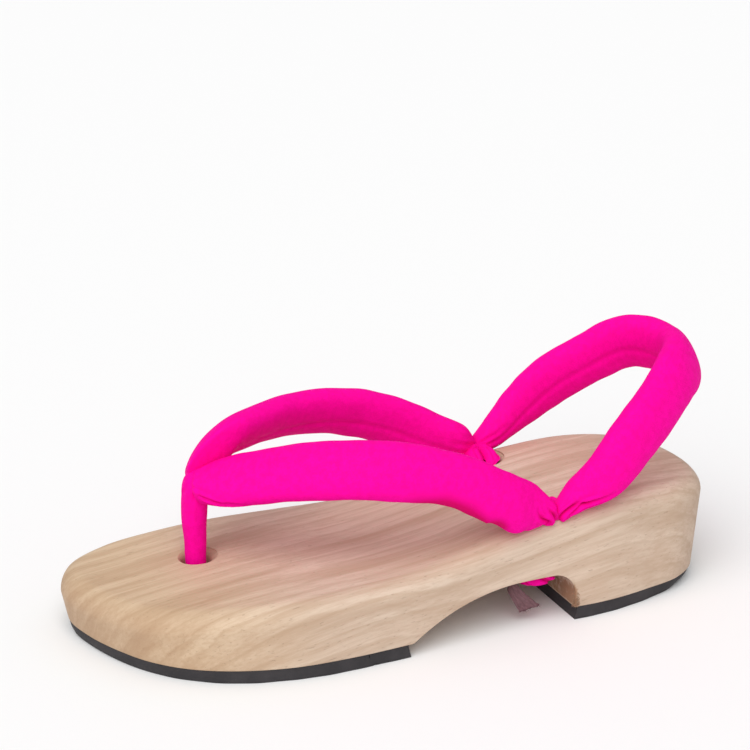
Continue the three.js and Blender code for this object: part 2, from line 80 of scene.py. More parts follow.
# Tie cords
# Each rear knot is bound with a flat cotton tape. Its loose end, about 34 mm long, hangs down in front of
# the heel block, and is cut off raw, so that it spreads and frays.
CORD_WIDTH = 0.005
CORD_THICKNESS = 0.0014
CORD_SIDES = 56
CORD_RIDGES = 9
CORD_STEPS = 40
CORD_RIDGE_HEIGHT = 0.16
CORD_SPREAD = 1.45
CORD_SPREADS_FROM = 0.62
CORD_FOLD = 0.45
CORD_FOLDS_FROM = 0.5
CORD_SLANT = 0.0026
CORD_CUT_RINGS = 8
CORD_RAGGED = 0.0008
CORD_THREAD_ROOT = 0.0006
CORD_THREADS = {"Length": 0.0017, "Thickness": 0.00009, "Scatter": 0.35}
CORD_COLOUR = (0.235, 0.125, 0.142, 1)
CORD_DARK = (0.125, 0.062, 0.07, 1)
# Which way along x is outwards on each side of the sandal.
OUTWARDS = {"lateral": 1, "medial": -1}
UNDER_HOLE = {
    "lateral": Vector((0.029615, 0.046819, 0.0195)),
    "medial": Vector((-0.023929, 0.046819, 0.0195)),
}
# Outwards, towards the heel, and up from the middle of the hole's lower mouth.
CORD_ROUTE = [
    (-0.0094, -0.0005, -0.0034),
    (-0.0086, -0.0080, -0.0034),
    (-0.0036, -0.0130, -0.0034),
    (0.0024, -0.0144, -0.0040),
    (0.0044, -0.0132, -0.0070),
    (0.0048, -0.0106, -0.0107),
    (0.0052, -0.0072, -0.0147),
]
# The way that the tape's flat side looks at each of those points.
CORD_FACE = [
    (-1, -0.2, 0), (-0.8, -1, 0), (-0.3, -1, 0), (0.4, -1, 0), (1, -0.6, 0), (1, -0.3, 0), (1, -0.3, 0),
]


def eased(share, start, leave, end, arrive):
    """Smooth values from start to end, which leave and arrive at the given rates."""
    square, cube = share ** 2, share ** 3
    return (
        (2 * cube - 3 * square + 1) * start + (cube - 2 * square + share) * leave
        + (3 * square - 2 * cube) * end + (cube - square) * arrive
    )


def smooth_curve(points, at, closed=False):
    """Points of a centripetal Catmull-Rom curve through points, at the fractional point numbers in at."""
    points = np.asarray(points, float)
    count = len(points)
    first = np.clip(np.floor(at).astype(int), 0, count - (1 if closed else 2))
    share = (at - first)[:, None]
    if closed:
        before, start, end, after = (points[(first + i) % count] for i in (-1, 0, 1, 2))
    else:
        wide = np.vstack([2 * points[0] - points[1], points, 2 * points[-1] - points[-2]])
        before, start, end, after = (wide[first + i] for i in range(4))
    gap_in, gap, gap_out = (
        np.sqrt(np.linalg.norm(b - a, axis=1))[:, None]
        for a, b in ((before, start), (start, end), (end, after))
    )
    leave = gap * ((start - before) / gap_in - (end - before) / (gap_in + gap)) + (end - start)
    arrive = (end - start) - gap * ((after - start) / (gap + gap_out) - (after - end) / gap_out)
    return eased(share, start, leave, end, arrive)


def smooth_rows(rows, at):
    """The same for a table's columns, with even steps between its rows."""
    rows = np.asarray(rows, float)
    rows = rows.reshape(len(rows), -1)
    wide = np.vstack([rows[0], rows, rows[-1]])
    first = np.clip(np.floor(at).astype(int), 0, len(rows) - 2)
    share = (at - first)[:, None]
    before, start, end, after = (wide[first + i] for i in range(4))
    return eased(share, start, (end - before) / 2, end, (after - start) / 2)


def unit(vectors):
    return vectors / np.linalg.norm(vectors, axis=-1, keepdims=True)


def full_turn(sides):
    return np.arange(sides) / sides * 2 * math.pi


def distances_along(line):
    """How far each point of a line is from its start."""
    return np.concatenate([[0], np.cumsum(np.linalg.norm(np.diff(line, axis=0), axis=1))])


def mesh_of(name, points, faces):
    mesh = bpy.data.meshes.new(name)
    mesh.from_pydata(points.tolist(), [], faces)
    return mesh


def ring_faces(ring_count, sides):
    """The faces between neighbouring rings of as many points each."""
    return [
        (j * sides + i, j * sides + (i + 1) % sides, (j + 1) * sides + (i + 1) % sides, (j + 1) * sides + i)
        for j in range(ring_count - 1) for i in range(sides)
    ]


def tube_mesh(name, rings, lengths):
    """Closed mesh through rings of points, capped at both ends, with a UV map in millimetres."""
    ring_count, sides = rings.shape[:2]
    points = np.vstack([rings.reshape(-1, 3), rings[0].mean(0), rings[-1].mean(0)])
    girth = np.linalg.norm(np.roll(rings, -1, axis=1) - rings, axis=2).sum(axis=1).mean() / MM
    around = np.arange(sides + 1) / sides * girth
    faces = ring_faces(ring_count, sides)
    corner_uvs = [
        (lengths[j + end], around[i + turn])
        for j in range(ring_count - 1) for i in range(sides)
        for end, turn in ((0, 0), (0, 1), (1, 1), (1, 0))
    ]
    for ring, centre, outwards in ((0, len(points) - 2, -1), (ring_count - 1, len(points) - 1, 1)):
        for i in range(sides):
            rim = (ring * sides + i, ring * sides + (i + 1) % sides)
            faces.append((centre, *rim[::outwards]))
            corner_uvs += [(lengths[ring], around[i])] * 3
    mesh = mesh_of(name, points, faces)
    mesh.uv_layers.new(name="surface").data.foreach_set("uv", np.ravel(corner_uvs))
    mesh.shade_smooth()
    return mesh


def give_values(mesh, attribute, values):
    """One number at each point of a mesh, for its material to read."""
    layer = mesh.attributes.new(attribute, "FLOAT", "POINT")
    layer.data.foreach_set("value", values.astype(np.float32))


def piece_of(name, mesh, material, replaces=()):
    """A piece of the sandal that rides with it and stands for the named solids."""
    piece = object_in_scene(name, mesh)
    mesh.materials.clear()
    mesh.materials.append(material)
    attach(piece, "root")
    if replaces:
        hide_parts(*replaces)
    return piece


def node(tree, kind, sockets=None, **settings):
    """One node, with its sockets joined to other nodes' outputs or set to values."""
    made = tree.nodes.new(kind)
    for name, value in settings.items():
        setattr(made, name, value)
    for name, value in (sockets or {}).items():
        if isinstance(value, bpy.types.NodeSocket):
            tree.links.new(value, made.inputs[name])
        else:
            made.inputs[name].default_value = value
    return made


def sum_of(tree, operation, first, second=0.0, third=0.0):
    """The output of one Math node."""
    return node(tree, "ShaderNodeMath", {0: first, 1: second, 2: third}, operation=operation).outputs[0]


def vector_of(tree, operation, sockets):
    """The output of one Vector Math node."""
    return node(tree, "ShaderNodeVectorMath", sockets, operation=operation).outputs[0]


def mixed(tree, amount, first, second, blend="MIX"):
    """Two colours mixed by an amount."""
    made = node(tree, "ShaderNodeMix", data_type="RGBA", blend_type=blend)
    for socket, value in ((made.inputs[0], amount), (made.inputs[6], first), (made.inputs[7], second)):
        if isinstance(value, bpy.types.NodeSocket):
            tree.links.new(value, socket)
        else:
            socket.default_value = value
    return made.outputs[2]


def ramp(tree, value, low, high):
    """0 below low, 1 above high, and smooth between them."""
    made = node(tree, "ShaderNodeMapRange", {"Value": value, "From Min": low, "From Max": high})
    made.interpolation_type = "SMOOTHSTEP"
    return made.outputs["Result"]


def noise(tree, place, scale, stretch=(1, 1, 1), detail=2.0, roughness=0.5):
    """Noise with features about 1 / scale metres wide, stretched by dividing its scale on each axis."""
    mapped = vector_of(tree, "MULTIPLY", {0: place, 1: tuple(1 / s for s in stretch)})
    sockets = {"Vector": mapped, "Scale": scale, "Detail": detail, "Roughness": roughness}
    return node(tree, "ShaderNodeTexNoise", sockets).outputs["Fac"]


def new_material(name, finish):
    """A material, its tree, and its Principled shader with the values in finish on its own sockets."""
    material = bpy.data.materials.new(name)
    material.use_nodes = True
    shader = material.node_tree.nodes["Principled BSDF"]
    for socket, value in finish.items():
        shader.inputs[socket].default_value = value
    return material, material.node_tree, shader


def bump(tree, shader, height, distance, strength=1.0):
    """Feeds a height in the given distance, in metres, to the shader's normal."""
    made = node(tree, "ShaderNodeBump", {"Height": height, "Distance": distance, "Strength": strength})
    tree.links.new(made.outputs["Normal"], shader.inputs["Normal"])


def shader_group(name, inputs, outputs):
    """An empty shader node group with float or vector inputs and float outputs."""
    tree = bpy.data.node_groups.new(name, "ShaderNodeTree")
    for socket, value in inputs.items():
        kind = "NodeSocketVector" if value is None else "NodeSocketFloat"
        made = tree.interface.new_socket(name=socket, in_out="INPUT", socket_type=kind)
        if value is not None:
            made.default_value = value
    for socket in outputs:
        tree.interface.new_socket(name=socket, in_out="OUTPUT", socket_type="NodeSocketFloat")
    return tree, tree.nodes.new("NodeGroupInput"), tree.nodes.new("NodeGroupOutput")


def thread_weave():
    """Plain weave on a UV map in millimetres: threads over and under each other, and a soft mottle."""
    tree, given, gives = shader_group("thread_weave", {"Surface": None, "Pitch": 0.45}, ("Height", "Mottle"))
    parts = node(tree, "ShaderNodeSeparateXYZ", {0: given.outputs["Surface"]})
    turn = sum_of(tree, "DIVIDE", math.pi, given.outputs["Pitch"])
    wave_along = sum_of(tree, "SINE", sum_of(tree, "MULTIPLY", parts.outputs[0], turn))
    wave_around = sum_of(tree, "SINE", sum_of(tree, "MULTIPLY", parts.outputs[1], turn))
    over = sum_of(tree, "MULTIPLY", wave_along, wave_around)
    height = sum_of(tree, "MULTIPLY_ADD", over, 0.5, 0.5)
    coarse = noise(tree, given.outputs["Surface"], 0.45, detail=3.0, roughness=0.6)
    fine = noise(tree, given.outputs["Surface"], 2.2, detail=2.0, roughness=0.6)
    mottle = sum_of(tree, "MULTIPLY_ADD", fine, 0.5, sum_of(tree, "MULTIPLY", coarse, 0.5))
    tree.links.new(height, gives.inputs["Height"])
    tree.links.new(mottle, gives.inputs["Mottle"])
    return tree


WEAVE = thread_weave()


def tie_cord_material():
    material, tree, shader = new_material("tie_cord_cotton", {"Roughness": 0.9, "Specular IOR Level": 0.2})
    surface = node(tree, "ShaderNodeUVMap", uv_map="surface").outputs[0]
    fibres = noise(tree, surface, 3.0, stretch=(9, 1, 1), detail=4.0, roughness=0.7)
    weave = node(tree, "ShaderNodeGroup", {"Surface": surface, "Pitch": 0.35}, node_tree=WEAVE)
    colour = mixed(tree, ramp(tree, fibres, 0.35, 0.65), CORD_DARK, CORD_COLOUR)
    colour = mixed(tree, 0.35, colour, mixed(tree, weave.outputs["Mottle"], CORD_DARK, CORD_COLOUR))
    tree.links.new(colour, shader.inputs["Base Color"])
    height = sum_of(tree, "MULTIPLY_ADD", weave.outputs["Height"], 0.3, fibres)
    bump(tree, shader, height, 0.25 * MM)
    return material


CORD_COTTON = tie_cord_material()


def geometry_tree(name, inputs):
    """An empty Geometry Nodes tree with a Geometry input and the named inputs."""
    kinds = {float: "NodeSocketFloat", int: "NodeSocketInt", bpy.types.Material: "NodeSocketMaterial"}
    tree = bpy.data.node_groups.new(name, "GeometryNodeTree")
    tree.interface.new_socket(name="Geometry", in_out="INPUT", socket_type="NodeSocketGeometry")
    for socket, kind in inputs.items():
        tree.interface.new_socket(name=socket, in_out="INPUT", socket_type=kinds[kind])
    tree.interface.new_socket(name="Geometry", in_out="OUTPUT", socket_type="NodeSocketGeometry")
    return tree, tree.nodes.new("NodeGroupInput"), tree.nodes.new("NodeGroupOutput")


def grown_mesh(name, tree, points, directions, values):
    """The plain mesh that a Geometry Nodes tree grows on points that carry a direction each."""
    start = bpy.data.meshes.new(name + "_start")
    start.from_pydata([tuple(p) for p in points], [], [])
    layer = start.attributes.new("direction", "FLOAT_VECTOR", "POINT")
    layer.data.foreach_set("vector", np.ravel(directions))
    holder = object_in_scene(name + "_start", start)
    modifier = holder.modifiers.new(name, "NODES")
    modifier.node_group = tree
    names = {item.name: item.identifier for item in tree.interface.items_tree if item.in_out == "INPUT"}
    for socket, value in values.items():
        modifier[names[socket]] = value
    evaluated = holder.evaluated_get(bpy.context.evaluated_depsgraph_get())
    mesh = bpy.data.meshes.new_from_object(evaluated)
    mesh.name = name
    bpy.data.objects.remove(holder)
    bpy.data.meshes.remove(start)
    return mesh


def fibre_tree():
    """Thin tapered fibres, one on each point, along its direction with some scatter."""
    tree, given, gives = geometry_tree(
        "loose_fibres",
        {"Length": float, "Thickness": float, "Scatter": float, "Seed": int, "Material": bpy.types.Material},
    )
    line = node(tree, "GeometryNodeCurvePrimitiveLine", {"Start": (0, 0, 0)})
    end = node(tree, "ShaderNodeCombineXYZ", {"Z": given.outputs["Length"]})
    tree.links.new(end.outputs[0], line.inputs["End"])
    cut = node(tree, "GeometryNodeResampleCurve", {"Curve": line.outputs[0], "Count": 6})
    share = node(tree, "GeometryNodeSplineParameter").outputs["Factor"]
    bend = sum_of(tree, "MULTIPLY", sum_of(tree, "MULTIPLY", share, share), given.outputs["Length"])
    shift = node(tree, "ShaderNodeCombineXYZ", {"X": sum_of(tree, "MULTIPLY", bend, 0.35)})
    bent = node(tree, "GeometryNodeSetPosition", {"Geometry": cut.outputs[0], "Offset": shift.outputs[0]})
    thin = sum_of(tree, "SUBTRACT", 1.0, sum_of(tree, "MULTIPLY", share, 0.75))
    radius = node(tree, "GeometryNodeSetCurveRadius", {"Curve": bent.outputs[0], "Radius": thin})
    section = node(
        tree, "GeometryNodeCurvePrimitiveCircle", {"Resolution": 5, "Radius": given.outputs["Thickness"]},
    )
    fibre = node(
        tree, "GeometryNodeCurveToMesh",
        {"Curve": radius.outputs[0], "Profile Curve": section.outputs[0], "Fill Caps": True},
    )
    if "Scale" in fibre.inputs:
        tree.links.new(thin, fibre.inputs["Scale"])
    way = node(tree, "GeometryNodeInputNamedAttribute", {"Name": "direction"}, data_type="FLOAT_VECTOR")
    scatter = node(
        tree, "FunctionNodeRandomValue",
        {"Seed": given.outputs["Seed"], 0: (-1, -1, -1), 1: (1, 1, 1)}, data_type="FLOAT_VECTOR",
    )
    push = vector_of(tree, "SCALE", {0: scatter.outputs[0], "Scale": given.outputs["Scatter"]})
    aim = vector_of(tree, "ADD", {0: way.outputs[0], 1: push})
    turned = node(tree, "FunctionNodeAlignRotationToVector", {"Vector": aim}, axis="Z")
    size = node(
        tree, "FunctionNodeRandomValue", {"Seed": given.outputs["Seed"], 2: 0.35, 3: 1.0}, data_type="FLOAT",
    )
    placed = node(
        tree, "GeometryNodeInstanceOnPoints",
        {"Points": given.outputs["Geometry"], "Instance": fibre.outputs[0], "Rotation": turned.outputs[0],
         "Scale": size.outputs[1]},
    )
    real = node(tree, "GeometryNodeRealizeInstances", {0: placed.outputs[0]})
    painted = node(
        tree, "GeometryNodeSetMaterial",
        {"Geometry": real.outputs[0], "Material": given.outputs["Material"]},
    )
    tree.links.new(painted.outputs[0], gives.inputs[0])
    return tree


FIBRES = fibre_tree()


def make_tie_cord(side_name):
    side = OUTWARDS[side_name]
    mouth = np.array(UNDER_HOLE[side_name])
    route = [mouth + (side * x, y, z) for x, y, z in CORD_ROUTE]
    at = np.linspace(0, len(route) - 1, CORD_STEPS)
    line = smooth_curve(route, at)
    along = unit(np.gradient(line, axis=0))
    face = smooth_rows([(side * x, y, z) for x, y, z in CORD_FACE], at)
    face = unit(face - (face * along).sum(1)[:, None] * along)
    across = np.cross(face, along)
    share = np.linspace(0, 1, CORD_STEPS)
    opened = np.clip((share - CORD_SPREADS_FROM) / (1 - CORD_SPREADS_FROM), 0, 1) ** 1.6
    spread = 1 + (CORD_SPREAD - 1) * opened
    turn = full_turn(CORD_SIDES)
    ridge = 1 + CORD_RIDGE_HEIGHT * np.cos(CORD_RIDGES * turn)
    folded = np.clip((share - CORD_FOLDS_FROM) / (1 - CORD_FOLDS_FROM), 0, 1)
    fold = CORD_FOLD * np.sin(2 * turn + 0.8) * folded[:, None]
    wide = np.cos(turn)[None, :] * spread[:, None] * CORD_WIDTH / 2
    thick = (np.sin(turn) * ridge)[None, :] * CORD_THICKNESS / 2 + fold * CORD_THICKNESS
    rings = line[:, None] + across[:, None] * wide[..., None] + face[:, None] * thick[..., None]
    slant = CORD_SLANT * (side * np.cos(turn) - 1) / 2
    for back in range(CORD_CUT_RINGS):
        rings[-1 - back] += along[-1] * (slant * (1 - back / CORD_CUT_RINGS))[:, None]
    ragged = 0.5 + 0.5 * np.sin(7 * np.cos(turn) + 2.1) * np.cos(3 * np.cos(turn) - side)
    for back, reach in ((1, 1.0), (2, 0.55), (3, 0.2)):
        rings[-back] += along[-1] * (ragged * reach * CORD_RAGGED)[:, None]
    name = f"tie_cord_{side_name}"
    tape = tube_mesh(name + "_tape", rings, distances_along(line) / MM)
    cord = piece_of(name + "_tape", tape, CORD_COTTON, [name])
    rim = rings[-1][:: 2]
    ways = along[-1] + 0.22 * unit(rim - rim.mean(0))
    threads = grown_mesh(
        name + "_threads", FIBRES, rim - along[-1] * CORD_THREAD_ROOT, ways,
        {**CORD_THREADS, "Seed": 3 + side, "Material": CORD_COTTON},
    )
    frayed = piece_of(name + "_threads", threads, CORD_COTTON)


for side_name in UNDER_HOLE:
    make_tie_cord(side_name)


# Wooden base
# One block of pale, straight-grained wood, sawn to a low toe and a high heel, with an arch cut through from
# side to side. The top edge is rounded over and sanded, and the saw has left the arch rough at the heel
# block. The sizes of shapes are in millimetres from here on.
BASE_LENGTH = 240.0
BALL_WIDTH = 92.0
HEEL_HEIGHT = 45.0
TOE_HEIGHT = 23.5
WALL_FLARE = 3.0
TOP_ROUND_TOE = 8.0
TOP_ROUND = 6.5
BOTTOM_ROUND = 0.6
ARCH_HEIGHT = 19.5
ARCH_CORNER = 9.0
ARCH_EDGE_ROUND = 0.45
ROUGH_STRIP = 2.2
TREAD_THICKNESS = 5.0
FRONT_HOLE = 11.0
RECESS = 25.0
RECESS_DEPTH = 10.0
REAR_HOLE = 12.5
HOLE_COUNTERSINK = 2.5
FAR = 100.0
OUTLINE_STEPS = 360
BED_STRIPS = 36
CURVE_SAMPLES = 6000
EDGE_REACH = 0.8
JOIN_WITHIN = 0.004
WOOD_PALE = (0.685, 0.543, 0.427, 1)
WOOD_ROSE = (0.495, 0.343, 0.240, 1)
WOOD_LATE = (0.37, 0.225, 0.128, 1)
WOOD_END = (0.355, 0.200, 0.118, 1)
WOOD_PORE = (0.26, 0.145, 0.085, 1)
WARM_TOE = (0.96, 0.91, 0.78, 1)
WARM_FROM, WARM_FULLY = -0.035, -0.105
GROWTH_LAYER = 0.0060
GRAIN_WANDER = 0.0075
GRAIN_TILT = (math.radians(-10), math.radians(52), 0)
ROSE_SHARE, LATE_SHARE, FIBRE_SHARE, PORE_SHARE, END_SHARE = 0.80, 0.42, 0.44, 0.32, 0.52
# Outline at the bottom of the wall, from the toe tip up the outer side, round the heel and back.
# along is a share of BASE_LENGTH from the toe, across a share of BALL_WIDTH towards the outer side.
OUTLINE = [
    (0.000, -0.285), (0.010, -0.105), (0.036, 0.072), (0.067, 0.212), (0.112, 0.330), (0.175, 0.420),
    (0.255, 0.477), (0.340, 0.487), (0.435, 0.471), (0.550, 0.440), (0.670, 0.414), (0.790, 0.411),
    (0.870, 0.372), (0.936, 0.318), (0.982, 0.208), (1.000, 0.015), (0.984, -0.190), (0.930, -0.315),
    (0.850, -0.375), (0.740, -0.385), (0.620, -0.390), (0.500, -0.425), (0.380, -0.480), (0.270, -0.510),
    (0.160, -0.520), (0.080, -0.505), (0.022, -0.430),
]
# along, rise of the bed, the top of the base: 0 at TOE_HEIGHT, 1 at HEEL_HEIGHT.
BED = [
    (0.00, -0.03), (0.06, 0.03), (0.14, 0.14), (0.24, 0.235), (0.36, 0.28), (0.44, 0.33), (0.52, 0.45),
    (0.60, 0.66), (0.68, 0.86), (0.76, 0.96), (0.84, 1.00), (0.92, 0.96), (1.00, 0.86),
]
# along, share of WALL_FLARE, share of the tread's bevel.
WALL = [
    (0.00, 0.70, 1.00), (0.06, 0.60, 0.90), (0.15, 0.30, 0.25), (0.25, 0.15, 0.00), (0.80, 0.15, 0.00),
    (0.93, 0.60, 1.35), (1.00, 1.00, 3.00),
]
FRONT_HOLE_AT = (0.190, -0.150)
REAR_HOLES_AT = {"lateral": (0.697, 0.302), "medial": (0.697, -0.280)}
ARCH_START, ARCH_CROWN, ARCH_END = 0.446, 0.640, 0.733


def y_of(along):
    return (np.asarray(along) - 0.5) * BASE_LENGTH


def x_of(across):
    return np.asarray(across) * BALL_WIDTH


def place_of(hole):
    """The middle of a hole, as x and y."""
    along, across = hole
    return np.array((float(x_of(across)), float(y_of(along))))


def table_value(rows, column, along):
    """Smooth value of one column of a table whose rows are ordered by their first column."""
    rows = np.asarray(rows, float)
    place, value = rows[:, 0], rows[:, column]
    slope = np.empty(len(rows))
    slope[1:-1] = (value[2:] - value[:-2]) / (place[2:] - place[:-2])
    slope[0] = (value[1] - value[0]) / (place[1] - place[0])
    slope[-1] = (value[-1] - value[-2]) / (place[-1] - place[-2])
    along = np.clip(along, 0, 1)
    k = np.clip(np.searchsorted(place, along, side="left") - 1, 0, len(rows) - 2)
    span = place[k + 1] - place[k]
    share = (along - place[k]) / span
    return eased(share, value[k], span * slope[k], value[k + 1], span * slope[k + 1])


def bed_height(y):
    return TOE_HEIGHT + (HEEL_HEIGHT - TOE_HEIGHT) * table_value(BED, 1, y / BASE_LENGTH + 0.5)


def wall_share(column, y):
    return table_value(WALL, column, y / BASE_LENGTH + 0.5)


def outline_edge(count):
    """Points of the outline and the inward direction at each. Point i lies across from point count - i."""
    rows = [(x_of(across), y_of(along)) for along, across in OUTLINE]
    fine = smooth_curve(rows, np.linspace(0, len(rows), CURVE_SAMPLES, endpoint=False), closed=True)
    fine = np.vstack([fine, fine[0]])
    gone = distances_along(fine)
    heel = gone[fine[:, 1].argmax()]
    half = count // 2
    at = np.concatenate([np.linspace(0, heel, half + 1), np.linspace(heel, gone[-1], half + 1)[1:-1]])
    points, ahead, behind = (
        np.stack([np.interp(place, gone, fine[:, k]) for k in (0, 1)], axis=1)
        for place in (at, (at + EDGE_REACH) % gone[-1], (at - EDGE_REACH) % gone[-1])
    )
    along = unit(ahead - behind)
    return points, np.stack([-along[:, 1], along[:, 0]], axis=1)


EDGE, INWARD = outline_edge(OUTLINE_STEPS)


def outer_edge_x(y):
    """Where the outline's outer side lies at one place along the base."""
    outer = EDGE[EDGE[:, 0] > 0]
    order = outer[:, 1].argsort()
    return float(np.interp(y, outer[order, 1], outer[order, 0]))


def outline_ring(inset, height):
    """The outline moved inwards by inset(y) and lifted to height(y)."""
    moved = EDGE + INWARD * (inset(EDGE[:, 1]) * np.ones(len(EDGE)))[:, None]
    return np.column_stack([moved, height(moved[:, 1]) * np.ones(len(moved))])


def outline_body(name, rings, strips_below, strips_above, top_height, bottom_height):
    """Closed body through outline rings from the bottom up, with its ends filled from side to side."""
    count = OUTLINE_STEPS
    half = count // 2
    points = [np.vstack(rings)]
    faces = ring_faces(len(rings), count)
    total = len(points[0])
    for ring, strips, height, upward in (
        (rings[0], strips_below, bottom_height, False), (rings[-1], strips_above, top_height, True),
    ):
        share = np.linspace(0, 1, strips + 1)[None, :, None]
        near = ring[: half + 1][:, None]
        far = ring[(count - np.arange(half + 1)) % count][:, None]
        grid = near * (1 - share) + far * share
        grid[..., 2] = height(grid[..., 1])
        for j in range(half):
            for i in range(strips):
                a = total + j * (strips + 1) + i
                quad = (a, a + strips + 1, a + strips + 2, a + 1)
                faces.append(quad if upward else quad[::-1])
        points.append(grid.reshape(-1, 3))
        total += len(points[-1])
    return mesh_of(name, np.vstack(points) * MM, faces)


def merged(mesh):
    """Joins doubled points, turns the faces outwards and drops faces with no area."""
    work = bmesh.new()
    work.from_mesh(mesh)
    bmesh.ops.remove_doubles(work, verts=work.verts, dist=JOIN_WITHIN * MM)
    bmesh.ops.dissolve_degenerate(work, edges=work.edges, dist=JOIN_WITHIN * MM)
    bmesh.ops.recalc_face_normals(work, faces=work.faces)
    work.to_mesh(mesh)
    work.free()
    return mesh


def turned_bar(name, profile, place, sides=64):
    """A round cutter with the (radius, height) profile and flat ends."""
    turn = full_turn(sides)
    rings = [
        np.column_stack([place[0] + r * np.cos(turn), place[1] + r * np.sin(turn), np.full(sides, z)])
        for r, z in profile
    ]
    faces = ring_faces(len(rings), sides)
    faces.append(tuple(range(sides))[::-1])
    faces.append(tuple((len(rings) - 1) * sides + i for i in range(sides)))
    return merged(mesh_of(name, np.vstack(rings) * MM, faces))


def arch_profile():
    """The arch from the front tread's end up to the crown and down the heel block, as (y, height) points."""
    start, crown, end = (float(y_of(along)) for along in (ARCH_START, ARCH_CROWN, ARCH_END))
    low = TREAD_THICKNESS
    handles = np.array([
        (start, 0.9 * low),
        (start + 0.28 * (crown - start), low + 0.62 * (ARCH_HEIGHT - low)),
        (start + 0.62 * (crown - start), ARCH_HEIGHT),
        (crown, ARCH_HEIGHT),
    ])
    share = np.linspace(0, 1, 60)[:, None]
    rise = (
        (1 - share) ** 3 * handles[0] + 3 * share * (1 - share) ** 2 * handles[1]
        + 3 * share ** 2 * (1 - share) * handles[2] + share ** 3 * handles[3]
    )
    turn = np.linspace(math.pi / 2, 0, 20)[:, None]
    corner = np.array((end - ARCH_CORNER, ARCH_HEIGHT - ARCH_CORNER))
    corner = corner + ARCH_CORNER * np.hstack([np.cos(turn), np.sin(turn)])
    return np.vstack([(start, -low), rise, corner, (end, -low)])


def arch_bar():
    profile = arch_profile()
    count = len(profile)
    left, right = (
        np.column_stack([np.full(count, x), profile]) for x in (-BALL_WIDTH, BALL_WIDTH)
    )
    faces = ring_faces(2, count)
    faces += [tuple(range(count))[::-1], tuple(range(count, 2 * count))]
    return merged(mesh_of("arch_bar", np.vstack([left, right]) * MM, faces))


def evaluated_copy(name, mesh, kind, **settings):
    """The mesh with one modifier worked in."""
    holder = object_in_scene(name, mesh)
    modifier = holder.modifiers.new(kind.lower(), kind)
    for setting, value in settings.items():
        setattr(modifier, setting, value)
    made = bpy.data.meshes.new_from_object(holder.evaluated_get(bpy.context.evaluated_depsgraph_get()))
    made.name = name
    bpy.data.objects.remove(holder)
    return made


def cut_from(name, mesh, cutters):
    """The mesh less each cutter in turn."""
    for cutter in cutters:
        tool = object_in_scene("cutter", cutter)
        mesh = evaluated_copy(name, mesh, "BOOLEAN", operation="DIFFERENCE", solver="EXACT", object=tool)
        bpy.data.objects.remove(tool)
    return mesh


def top_round(y):
    """Radius of the rounded top edge, which is larger round the toe."""
    return TOP_ROUND + (TOP_ROUND_TOE - TOP_ROUND) * wall_share(1, np.minimum(y, 0))


def wall_top(y):
    return bed_height(y) - top_round(y)


def flare(y):
    """How far the top of the wall stands out over its bottom."""
    return WALL_FLARE * wall_share(1, y)


def bore(hole, radius, below):
    """The cutter of one strap hole: what lies below the bore, the bore, and its sanded mouth."""
    place = place_of(hole)
    bed = float(bed_height(place[1]))
    return turned_bar("bore", below + [
        (radius, bed - HOLE_COUNTERSINK), (radius + 0.5, bed - 0.45 * HOLE_COUNTERSINK),
        (radius + HOLE_COUNTERSINK, bed + 0.3), (radius + HOLE_COUNTERSINK, FAR),
    ], place)


def base_mesh():
    bottom = TREAD_THICKNESS
    wall_start = bottom + BOTTOM_ROUND
    rings = [
        outline_ring(
            lambda y: BOTTOM_ROUND * (1 - np.sin(turn)), lambda y: bottom + BOTTOM_ROUND * (1 - np.cos(turn)),
        )
        for turn in np.linspace(0, math.pi / 2, 4)
    ]
    rings += [
        outline_ring(lambda y: -share * flare(y), lambda y: wall_start + share * (wall_top(y) - wall_start))
        for share in (0.2, 0.4, 0.6, 0.8)
    ]
    rings += [
        outline_ring(
            lambda y: -flare(y) + top_round(y) * (1 - math.cos(turn)),
            lambda y: wall_top(y) + top_round(y) * math.sin(turn),
        )
        for turn in np.linspace(0, math.pi / 2, 13)
    ]
    mesh = merged(outline_body("wood_base_block", rings, 1, BED_STRIPS, bed_height, lambda y: bottom + 0 * y))
    recess_top = bottom + RECESS_DEPTH
    recess = [
        (RECESS / 2, 0), (RECESS / 2, recess_top - 1),
        (RECESS / 2 - 1, recess_top), (FRONT_HOLE / 2, recess_top),
    ]
    cutters = [arch_bar(), bore(FRONT_HOLE_AT, FRONT_HOLE / 2, recess)]
    cutters += [bore(hole, REAR_HOLE / 2, [(REAR_HOLE / 2, 0)]) for hole in REAR_HOLES_AT.values()]
    return cut_from("wood_base_block", mesh, cutters)


